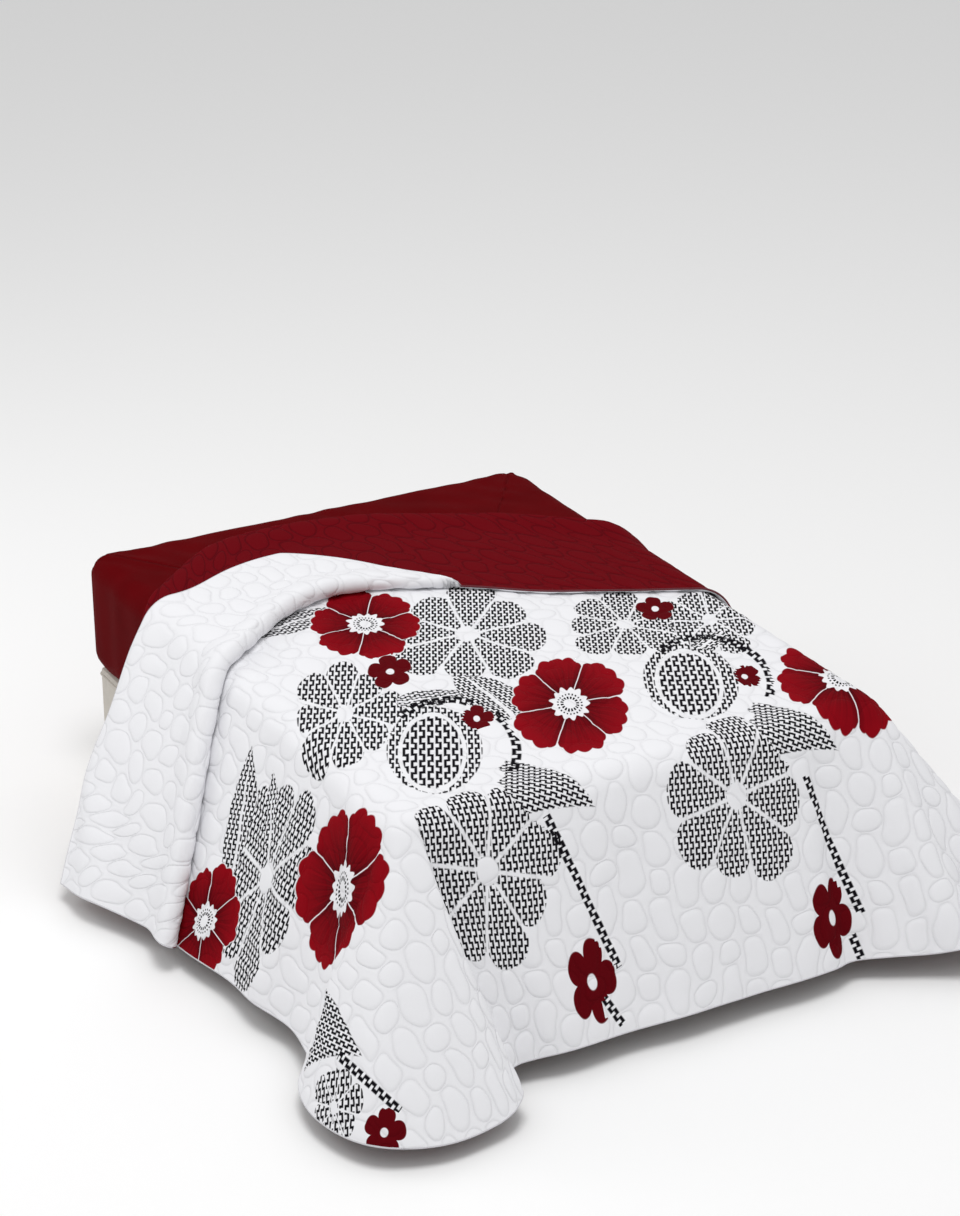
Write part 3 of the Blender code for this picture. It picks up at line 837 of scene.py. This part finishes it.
def add_motifs(piece, name, motifs, across, travel):
    """Give each face its nearest motif, as two corner attributes.

    The first holds x and y in the motif's own axes, where its edge is at 1, and its kind.
    The second holds the count of thread columns and rows from its middle, and its seed.
    """
    places = corner_values(piece, np.stack([across, travel], axis=-1)).reshape(-1, 4, 2)
    middle = places.mean(axis=1)
    best = np.full(len(middle), MOTIF_REACH)
    own = np.zeros((len(places), 4, 3), np.float32)
    thread = np.zeros((len(places), 4, 3), np.float32)
    for kind, at_across, at_travel, half_width, half_length, lean, seed in motifs:
        turn = np.radians(lean)
        to_own = np.array([[np.cos(turn), np.sin(turn)], [-np.sin(turn), np.cos(turn)]])
        flat = (places - (at_across, at_travel)) @ to_own
        unit = flat / (half_width, half_length)
        off = np.linalg.norm(((middle - (at_across, at_travel)) @ to_own)
                             / (half_width, half_length), axis=1)
        off = off + ARC_GIVES_WAY * (kind == ARC)
        near = off < best
        best[near] = off[near]
        own[near, :, :2] = unit[near]
        own[near, :, 2] = kind
        thread[near, :, 0] = unit[near, :, 0] * half_width / THREAD_COLUMN
        true_rows = name == "upper" or kind == LEAF
        height = half_length if true_rows else half_width
        thread[near, :, 1] = unit[near, :, 1] * height / THREAD_ROW
        thread[near, :, 2] = seed
    for label, values in ((name, own), (name + "_thread", thread)):
        attribute = piece.data.attributes.new(label, "FLOAT_VECTOR", "CORNER")
        attribute.data.foreach_set("vector", values.ravel())


def linear(text):
    """Linear colour of an sRGB hex value, with full alpha."""
    parts = np.array([int(text[i:i + 2], 16) for i in (1, 3, 5)]) / 255
    low = parts / 12.92
    high = ((parts + 0.055) / 1.055) ** 2.4
    return (*np.where(parts <= 0.04045, low, high).tolist(), 1.0)


def add_node(tree, kind, inputs=(), out=0, **settings):
    """Add a node with its settings, link or set its inputs, and give one of its outputs."""
    node = tree.nodes.new(kind)
    for name, value in settings.items():
        setattr(node, name, value)
    for socket, value in dict(inputs).items():
        if isinstance(value, bpy.types.NodeSocket):
            tree.links.new(value, node.inputs[socket])
        else:
            node.inputs[socket].default_value = value
    return node.outputs[out]


def node_steps(tree):
    """Do each sum of a formula by adding a node to the tree."""
    def take_step(step, *inputs):
        kind = "ShaderNodeClamp" if step == "CLAMP" else "ShaderNodeMath"
        settings = {} if step == "CLAMP" else {"operation": step}
        return add_node(tree, kind, enumerate(inputs), **settings)
    return take_step


def new_material(name, colour, roughness, sheen=0.0, specular=0.04):
    """Principled material with its constants on the shader's own sockets. Dry cloth and
    matt paint glint little, so the specular level is low."""
    material = bpy.data.materials.new(name)
    material.use_nodes = True
    shader = material.node_tree.nodes["Principled BSDF"]
    for socket, value in (("Base Color", colour), ("Roughness", roughness), ("IOR", 1.5),
                          ("Specular IOR Level", specular), ("Sheen Weight", sheen),
                          ("Sheen Roughness", 0.5)):
        shader.inputs[socket].default_value = value
    return material, material.node_tree, shader


def finish_surface(tree, shader, colour, layers, height, strength, depth):
    """Lay each (share, colour) over the colour so far, and give the shader the result and
    the fine relief, whose full height is depth in metres."""
    for share, over in layers:
        colour = add_node(tree, "ShaderNodeMix", {0: share, 6: colour, 7: over}, out=2,
                          data_type="RGBA")
    bump = add_node(tree, "ShaderNodeBump",
                    {"Strength": strength, "Distance": depth, "Height": height})
    tree.links.new(colour, shader.inputs["Base Color"])
    tree.links.new(bump, shader.inputs["Normal"])


def printed_cotton(colours):
    """Printed cotton percale, quilted: matte, a cool white with deep red and black ink.

    To the eye the ink is flat and sharp, the ground shades softly over each padded oval,
    and the sewn lines show as fine grooves, with painted shade laid along them off the red
    flowers.
    """
    material, tree, shader = new_material("printed_cotton", colours.ground, 0.86)
    take_step = node_steps(tree)
    cut = add_node(tree, "ShaderNodeUVMap", uv_map="cut")
    vectors = [(cut, ("u", "v"))]
    for label, names in (("lower", ("x", "y", "kind")), ("lower_thread", ("tx", "ty", "seed")),
                         ("upper", ("rx", "ry", "rkind")),
                         ("upper_thread", ("rtx", "rty", "rseed"))):
        attribute = add_node(tree, "ShaderNodeAttribute", out=1, attribute_name=label)
        vectors.append((attribute, names))
    values = {}
    for vector, names in vectors:
        parts = add_node(tree, "ShaderNodeSeparateXYZ", {0: vector}).node
        values.update(zip(names, parts.outputs))
    shapes = (PEBBLE_SHAPE, THREAD_FLOWER, THREAD_LEAF, THREAD_CALYX, THREAD_BUD, RED_FLOWER,
              SMALL_FLOWER)
    work_out("".join(shapes), values, take_step)
    for name, side, place in STEPPED_LINES:
        work_out(f"side = {side}\nplace = {place}\n" + MEANDER, values, take_step)
        values[name] = values["meander"]
    work_out(PRINT_LAYERS + SEWN_LINES, values, take_step)
    # The last layer is painted shade along the face's sewn grooves
    layers = ((values["lower_ink"], colours.ink), (values["upper_white"], colours.ground),
              (values["red_cover"], colours.red), (values["red_shade"], colours.dark_red),
              (values["upper_ink"], colours.ink), (values["groove_shade"], colours.groove))
    finish_surface(tree, shader, colours.ground, layers, values["relief"], *QUILT_BUMP)
    return material


def dyed_cotton(colours):
    """Dyed cotton on the quilt's reverse: matte deep red, with painted shade darkening the sewn
    lines.
    """
    material, tree, shader = new_material("dyed_cotton", colours.reverse, 0.85)
    cut = add_node(tree, "ShaderNodeUVMap", uv_map="cut")
    parts = add_node(tree, "ShaderNodeSeparateXYZ", {0: cut}).node
    values = {"u": parts.outputs[0], "v": parts.outputs[1], "red_cover": 0.0}
    work_out(PEBBLE_SHAPE + SEWN_LINES, values, node_steps(tree))
    # Painted shade along the reverse's sewn grooves
    layers = ((values["reverse_shade"], colours.reverse_painted_shade_colour),)
    finish_surface(tree, shader, colours.reverse, layers, values["relief"], *QUILT_BUMP)
    return material


def hem_thread(colours):
    """Overlocked hem: rows of sewing thread laid close round the quilt's edge, pale where
    the printed face is up and red where the reverse is."""
    material, tree, shader = new_material("overlock_thread", colours.thread, 0.8, 0.1)
    round_edge = add_node(tree, "ShaderNodeUVMap", uv_map="cut")
    parts = add_node(tree, "ShaderNodeSeparateXYZ", {0: round_edge}).node
    values = {"s": parts.outputs[0], "t": parts.outputs[1]}
    values["turned"] = add_node(tree, "ShaderNodeAttribute", out=2, attribute_name="turned")
    work_out(HEM_STRANDS, values, node_steps(tree))
    # Painted shade between the hem's strands
    layers = ((values["turned"], colours.reverse), (values["dip"], colours.groove))
    finish_surface(tree, shader, colours.thread, layers, values["strand"], 0.6, 0.001)
    return material


def cotton_sateen(colours):
    """Sateen cotton of the fitted sheet: smooth deep red with a faint sheen."""
    material, tree, shader = new_material("cotton_sateen", colours.sheet, 0.7, specular=0.02)
    place = add_node(tree, "ShaderNodeTexCoord", out=3)
    cloud = add_node(tree, "ShaderNodeTexNoise",
                     {"Vector": place, "Scale": 9.0, "Detail": 4.0, "Roughness": 0.55})
    weave = add_node(tree, "ShaderNodeTexNoise",
                     {"Vector": place, "Scale": 900.0, "Detail": 2.0, "Roughness": 0.5})
    finish_surface(tree, shader, colours.sheet, ((cloud, colours.sheet_shade),), weave,
                   0.15, 0.0008)
    return material


def upholstery_linen(colours):
    """Upholstery linen of the base: a pale, dry plain weave with slubs. Its threads are
    drawn 4.5 mm apart, about twice the real spacing, so that they show."""
    material, tree, shader = new_material("upholstery_linen", colours.linen, 0.92, 0.2)
    place = add_node(tree, "ShaderNodeTexCoord", out=3)
    parts = add_node(tree, "ShaderNodeSeparateXYZ", {0: place}).node
    values = dict(zip(("x", "y", "z"), parts.outputs))
    values["slub"] = add_node(tree, "ShaderNodeTexNoise",
                              {"Vector": place, "Scale": 60.0, "Detail": 3.0, "Roughness": 0.6})
    work_out(LINEN_WEAVE, values, node_steps(tree))
    # Between the threads the colour is painted shade; the slubs vary the tone too
    finish_surface(tree, shader, colours.linen_slub_and_painted_gap_shade, ((values["weave"], colours.linen),),
                   values["weave"], 0.4, 0.0015)
    return material


def hem_ring(middle, normal, width, thickness):
    """Flattened tube along the quilt's rim: an ellipse carried round the rim, its long
    axis in the cloth and its short one along the cloth's normal."""
    rim = rim_order(*middle.shape[:2])
    path = middle.reshape(-1, 3)[rim]
    up = normal.reshape(-1, 3)[rim]
    ahead = np.roll(path, -1, axis=0) - np.roll(path, 1, axis=0)
    outward = np.cross(ahead, up)
    outward = outward / np.linalg.norm(outward, axis=1, keepdims=True)
    angle = np.linspace(0, FULL_TURN, TUBE_SIDES, endpoint=False)[None, :, None]
    return (path[:, None] + np.cos(angle) * outward[:, None] * width / 2
            + np.sin(angle) * up[:, None] * thickness / 2)


def loop_faces(steps, sides):
    """Quads of a tube that closes on itself both ways."""
    index = np.arange(steps * sides).reshape(steps, sides)
    ahead = np.roll(index, -1, axis=0)
    return np.stack([index, np.roll(index, -1, axis=1), np.roll(ahead, -1, axis=1), ahead],
                    axis=-1).reshape(-1, 4)[:, ::-1]


def rounded_rings(low, high, radius, bottom_rings, edge_rings, side_rings, top_rings, around):
    """Closed rounded box as rings from the middle of its underside to the middle of its top.

    Each ring is a rectangle with rounded corners, whose inset and height follow the box's
    profile: out along the underside, round the lower edge, up the side, round the upper
    edge and in along the top.
    """
    quarter = np.linspace(0, QUARTER_TURN, edge_rings + 1)
    flat = np.linspace(0.02, 1, bottom_rings, endpoint=False)
    flat_top = np.linspace(1, 0.005, top_rings + 1)[1:]
    side = np.linspace(0, 1, side_rings + 1)[1:-1]
    scale = np.concatenate([flat, np.ones(len(quarter) * 2 + len(side)), flat_top])
    grow = np.concatenate([np.zeros(len(flat)), radius * np.sin(quarter), radius + 0 * side,
                           radius * np.cos(quarter), np.zeros(len(flat_top))])
    height = np.concatenate([low[2] + 0 * flat, low[2] + radius * (1 - np.cos(quarter)),
                             low[2] + radius + (high[2] - low[2] - 2 * radius) * side,
                             high[2] - radius * (1 - np.sin(quarter)), high[2] + 0 * flat_top])
    centre = (np.array(high[:2]) + low[:2]) / 2
    corner, direction = ring_plan((np.array(high[:2]) - low[:2]) / 2 - radius, around)
    points = np.empty((len(scale), around, 3))
    points[..., :2] = (centre + corner[None] * scale[:, None, None]
                       + direction[None] * grow[:, None, None])
    points[..., 2] = height[:, None]
    return points


def ring_plan(half, around):
    """Places round a rectangle and the outward direction at each, evenly spaced, with a
    share of the points kept for turning each corner."""
    turn_points = around // 20
    straight = (around - 4 * turn_points) // 4
    corners = np.array([(1, -1), (1, 1), (-1, 1), (-1, -1), (1, -1)], float)
    places, directions = [], []
    for side in range(4):
        share = np.linspace(0, 1, straight, endpoint=False)[:, None]
        start = side * QUARTER_TURN
        angle = start + np.linspace(0, QUARTER_TURN, turn_points, endpoint=False)
        angle = np.concatenate([np.full(straight, start), angle])
        places.append(corners[side] * (1 - share) + corners[side + 1] * share)
        places.append(np.broadcast_to(corners[side + 1], (turn_points, 2)))
        directions.append(np.stack([np.cos(angle), np.sin(angle)], axis=-1))
    return np.concatenate(places) * half, np.concatenate(directions)


def ring_normals(points):
    """Outward normals of rings that close round, from their neighbours."""
    wrapped = np.concatenate([points[:, -1:], points, points[:, :1]], axis=1)
    run = np.gradient(wrapped, axis=1)[:, 1:-1]
    normal = np.cross(run, np.gradient(points, axis=0))
    return normal / np.maximum(np.linalg.norm(normal, axis=-1, keepdims=True), 1e-9)


def sheet_wrinkles(points, normal):
    """Lift of the fitted sheet: crossed waves, larger where it is bare, and folds that fan
    out from its pulled head corners."""
    x, y, z = points[..., 0], points[..., 1], points[..., 2]
    bare = ease((y - 0.62) / 0.15)
    wave = (np.sin(x * 31 + 3 * np.sin(y * 9)) * np.sin(y * 23 + 2 * np.sin(x * 7 + 1))
            + 0.6 * np.sin(x * 53 + y * 47 + 2 * np.sin(x * 11)))
    pull = np.zeros_like(x)
    for side in (-1, 1):
        off_x, off_y = x - side * MATTRESS_HIGH[0], y - MATTRESS_HIGH[1]
        reach = np.hypot(off_x, off_y) + 0.3 * (MATTRESS_HIGH[2] - z)
        fan = np.sin(np.arctan2(off_y, off_x * side) * 13)
        pull = pull + fan * np.exp(-(reach / 0.16) ** 2)
    tuck = np.exp(-((z - MATTRESS_LOW[2]) / 0.02) ** 2) * (np.abs(normal[..., 2]) < 0.7)
    return 0.0008 * wave * (0.6 + 1.6 * bare) + 0.0035 * pull - 0.010 * tuck


def length_property(name, description, default):
    """A length in metres that the user may change."""
    return FloatProperty(name=name, description=description, default=default, min=0.0,
                         precision=4, unit="LENGTH")


def colour_property(name, description, default):
    """A colour that the user may change, given as an sRGB hex value."""
    return FloatVectorProperty(name=name, description=description, default=linear(default),
                               size=4, min=0.0, max=1.0, subtype="COLOR")


class QuiltSizes(bpy.types.PropertyGroup):
    """Sizes of the quilt's and the bed's fine forms."""
    quilting: length_property("Quilting", "Height of each padded oval on the face", 0.0038)
    reverse_quilting: length_property("Reverse quilting", "Height of the ovals behind", 0.0020)
    skin: length_property("Cloth skin", "From the quilt's middle to its flat surface", 0.0024)
    hem_width: length_property("Hem width", "Width of the overlocked hem", 0.0052)
    hem_thickness: length_property("Hem thickness", "Thickness of the overlocked hem", 0.0064)
    creases: FloatProperty(name="Creases", description="Depth of the creases, as a share",
                           default=1.0, min=0.0, max=2.0, subtype="FACTOR")
    wrinkles: FloatProperty(name="Wrinkles", description="Depth of the fitted sheet's wrinkles",
                            default=1.0, min=0.0, max=2.0, subtype="FACTOR")
    piping: length_property("Piping", "Radius of the base's piped seam", 0.0040)


class BedColours(bpy.types.PropertyGroup):
    """Colours of the cloths."""
    ground: colour_property("Ground", "Printed face between the flowers", "#ECECEF")
    ink: colour_property("Ink", "Thread pattern and stitches of the print", "#0E0C12")
    red: colour_property("Red", "Red flowers", "#8A0815")
    dark_red: colour_property("Dark red", "Shade inside the red flowers", "#45040B")
    # Painted shade, laid along the face's sewn grooves and between the hem's strands
    groove: colour_property("Groove", "Sewn lines of the face", "#6A6A72")
    reverse: colour_property("Reverse", "Quilt's plain reverse", "#680610")
    # Painted shade along the reverse's sewn grooves
    reverse_painted_shade_colour: colour_property("Reverse groove", "Sewn lines of the reverse", "#36020A")
    thread: colour_property("Hem thread", "Overlocked hem", "#E9E8EC")
    sheet: colour_property("Sheet", "Fitted sheet", "#500205")
    sheet_shade: colour_property("Sheet shade", "Lighter patches of the sheet", "#640309")
    linen: colour_property("Linen", "Cloth of the base", "#DAD5CC")
    # Painted shade between the base's threads, also the darker tone of its slubs
    linen_slub_and_painted_gap_shade: colour_property("Linen shade", "Between the threads of the base", "#B7B0A6")


class StageLook(bpy.types.PropertyGroup):
    """Floor and light of the studio."""
    floor: colour_property("Floor", "Matt white floor", "#FCFCFC")
    floor_size: length_property("Floor size", "From the middle of the floor to its edge", 40.0)
    sky: FloatProperty(name="Sky", description="Strength of the even light all round",
                       default=0.60, min=0.0)
    key: FloatProperty(name="Key light", description="Power of the large lamp overhead",
                       default=290.0, min=0.0, unit="POWER")
    side: FloatProperty(name="Side light", description="Power of the lamp at the head's left",
                        default=25.0, min=0.0, unit="POWER")


class BED_OT_quilt_hem(bpy.types.Operator):
    """Sew the overlocked hem round the quilt"""
    bl_idname = "bed.quilt_hem"
    bl_label = "Quilt hem"

    def execute(self, context):
        sizes = context.scene.quilt_sizes
        middle, normal, _, _, turned = quilt_grid(FACE_COLUMNS, FACE_ROWS, sizes.creases)
        ring = hem_ring(middle, normal, sizes.hem_width, sizes.hem_thickness)
        piece = add_piece("quilt_hem", ring, loop_faces(len(ring), TUBE_SIDES),
                          hem_thread(context.scene.bed_colours))
        step = np.linalg.norm(np.diff(ring[:, 0], axis=0), axis=1)
        along = np.concatenate([[0.0], np.cumsum(step)])[:, None] + np.zeros(TUBE_SIDES)
        add_cloth_map(piece, along, np.arange(TUBE_SIDES) + 0 * along)
        turned = turned.reshape(-1)[rim_order(*middle.shape[:2])]
        turned = np.repeat(turned, TUBE_SIDES)[:, None]
        attribute = piece.data.attributes.new("turned", "FLOAT", "CORNER")
        attribute.data.foreach_set("value", corner_values(piece, turned).ravel())
        return {"FINISHED"}


class BED_OT_quilt_face(bpy.types.Operator):
    """Drape the quilt's printed face over the bed, turned down at its head"""
    bl_idname = "bed.quilt_face"
    bl_label = "Quilt face"

    def execute(self, context):
        sizes = context.scene.quilt_sizes
        middle, normal, across, travel, _ = quilt_grid(FACE_COLUMNS, FACE_ROWS, sizes.creases)
        puff = sizes.quilting * (pebble_relief(across, travel) - 0.2)
        lift = sizes.skin + rim_fade(across.shape, 3) * puff
        face = add_piece("quilt_face", middle + normal * lift[..., None],
                         grid_faces(*across.shape), printed_cotton(context.scene.bed_colours))
        add_cloth_map(face, across, travel)
        for layer, motifs in zip(("lower", "upper"), print_layers()):
            add_motifs(face, layer, motifs, across, travel)
        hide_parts("quilt")
        return {"FINISHED"}


class BED_OT_quilt_reverse(bpy.types.Operator):
    """Line the quilt with its plain red reverse"""
    bl_idname = "bed.quilt_reverse"
    bl_label = "Quilt reverse"

    def execute(self, context):
        sizes = context.scene.quilt_sizes
        middle, normal, across, travel, _ = quilt_grid(REVERSE_COLUMNS, REVERSE_ROWS,
                                                       sizes.creases)
        puff = sizes.reverse_quilting * (pebble_relief(across, travel) - 0.5)
        lift = sizes.skin + rim_fade(across.shape, 3) * puff
        reverse = add_piece("quilt_reverse", middle - normal * lift[..., None],
                            grid_faces(*across.shape, flipped=True),
                            dyed_cotton(context.scene.bed_colours))
        add_cloth_map(reverse, across, travel)
        return {"FINISHED"}


class BED_OT_fitted_sheet(bpy.types.Operator):
    """Fit the red sheet over the mattress, with its wrinkles and pulled corners"""
    bl_idname = "bed.fitted_sheet"
    bl_label = "Fitted sheet"

    def execute(self, context):
        points = rounded_rings(MATTRESS_LOW, MATTRESS_HIGH, MATTRESS_EDGE_RADIUS,
                               *SHEET_RINGS, SHEET_AROUND)
        normal = ring_normals(points)
        lift = sheet_wrinkles(points, normal) * context.scene.quilt_sizes.wrinkles
        points = points + normal * lift[..., None]
        ring = np.arange(SHEET_AROUND)
        caps = [ring[::-1], ring + (len(points) - 1) * SHEET_AROUND]
        faces = [*grid_faces(len(points), SHEET_AROUND, around=True), *caps]
        piece = add_piece("fitted_sheet", points, faces,
                          cotton_sateen(context.scene.bed_colours))
        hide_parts("mattress")
        return {"FINISHED"}


class BED_OT_base(bpy.types.Operator):
    """Dress the base's solid in linen and run a piped seam round its upper edge"""
    bl_idname = "bed.base"
    bl_label = "Bed base"

    def execute(self, context):
        cloth = upholstery_linen(context.scene.bed_colours)
        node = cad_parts["bed_base"]
        node.data.materials.clear()
        node.data.materials.append(cloth)
        half = np.array(BASE_HIGH[:2]) - BASE_EDGE_RADIUS
        corner, direction = ring_plan(half, PIPING_AROUND)
        level = np.full((len(corner), 1), BASE_HIGH[2] - PIPING_BELOW_TOP)
        path = np.concatenate([corner + direction * BASE_EDGE_RADIUS, level], axis=1)
        outward = np.concatenate([direction, 0 * level], axis=1)
        angle = np.linspace(0, FULL_TURN, TUBE_SIDES, endpoint=False)[None, :, None]
        radius = context.scene.quilt_sizes.piping
        ring = (path[:, None] + np.cos(angle) * outward[:, None] * radius
                + np.sin(angle) * np.array([0.0, 0.0, radius]))
        add_piece("base_piping", ring, loop_faces(len(path), TUBE_SIDES)[:, ::-1], cloth)
        return {"FINISHED"}


class BED_OT_stage(bpy.types.Operator):
    """Set the pale floor, the soft studio light and the camera"""
    bl_idname = "bed.stage"
    bl_label = "Stage"

    def execute(self, context):
        scene = context.scene
        look = scene.stage_look
        size = look.floor_size
        mesh = bpy.data.meshes.new("floor")
        mesh.from_pydata([(-size, -size, 0.0), (size, -size, 0.0), (size, size, 0.0),
                          (-size, size, 0.0)], [], [(0, 1, 2, 3)])
        # Matt white wall paint: even and dry, with no glint
        mesh.materials.append(new_material("matt_paint", look.floor, 0.95, specular=0.1)[0])
        floor = bpy.data.objects.new("floor", mesh)
        scene.collection.objects.link(floor)
        world = bpy.data.worlds.new("studio")
        world.use_nodes = True
        sky = world.node_tree.nodes["Background"].inputs
        sky["Color"].default_value = (1.0, 1.0, 1.0, 1.0)
        sky["Strength"].default_value = look.sky
        scene.world = world
        for name, place, aim, width, power in (
            ("key", (-1.0, -1.6, 8.5), (0.0, -0.2, 0.4), 3.4, look.key),
            ("side", (-3.2, 2.6, 3.0), (-0.2, 0.0, 0.5), 2.0, look.side),
        ):
            light = bpy.data.lights.new(name, "AREA")
            light.energy = power
            light.size = width
            lamp = bpy.data.objects.new(name, light)
            lamp.location = place
            lamp.rotation_euler = (Vector(aim) - lamp.location).to_track_quat(
                "-Z", "Y").to_euler()
            scene.collection.objects.link(lamp)
        camera = bpy.data.objects.new("camera", bpy.data.cameras.new("camera"))
        camera.data.sensor_width = CAMERA_SENSOR
        camera.data.lens = CAMERA_LENS
        camera.location = CAMERA_PLACE
        toward = Vector(CAMERA_AIM) - camera.location
        camera.rotation_euler = toward.to_track_quat("-Z", "Y").to_euler()
        scene.collection.objects.link(camera)
        scene.camera = camera
        scene.view_settings.view_transform = "Standard"
        return {"FINISHED"}


class BED_PT_panel(bpy.types.Panel):
    """Sizes, colours and building steps of the bed"""
    bl_idname = "BED_PT_panel"
    bl_label = "Draped bed quilt"
    bl_space_type = "VIEW_3D"
    bl_region_type = "UI"
    bl_category = "Bed"

    def draw(self, context):
        for group in SETTINGS:
            settings = getattr(context.scene, group)
            for name in settings.__annotations__:
                self.layout.prop(settings, name)
        for operator in OPERATORS:
            self.layout.operator(operator.bl_idname)


SETTINGS = {"quilt_sizes": QuiltSizes, "bed_colours": BedColours, "stage_look": StageLook}
OPERATORS = (BED_OT_stage, BED_OT_quilt_hem, BED_OT_quilt_face, BED_OT_quilt_reverse,
             BED_OT_fitted_sheet, BED_OT_base)


def register():
    for kind in (*SETTINGS.values(), *OPERATORS, BED_PT_panel):
        bpy.utils.register_class(kind)
    for name, kind in SETTINGS.items():
        setattr(bpy.types.Scene, name, PointerProperty(type=kind))


def unregister():
    for name in SETTINGS:
        delattr(bpy.types.Scene, name)
    for kind in reversed((*SETTINGS.values(), *OPERATORS, BED_PT_panel)):
        bpy.utils.unregister_class(kind)


def main():
    """Build the stage and every piece."""
    register()
    bpy.ops.bed.stage()
    bpy.ops.bed.quilt_hem()
    bpy.ops.bed.quilt_face()
    bpy.ops.bed.quilt_reverse()
    bpy.ops.bed.fitted_sheet()
    bpy.ops.bed.base()


if __name__ == "__main__":
    main()
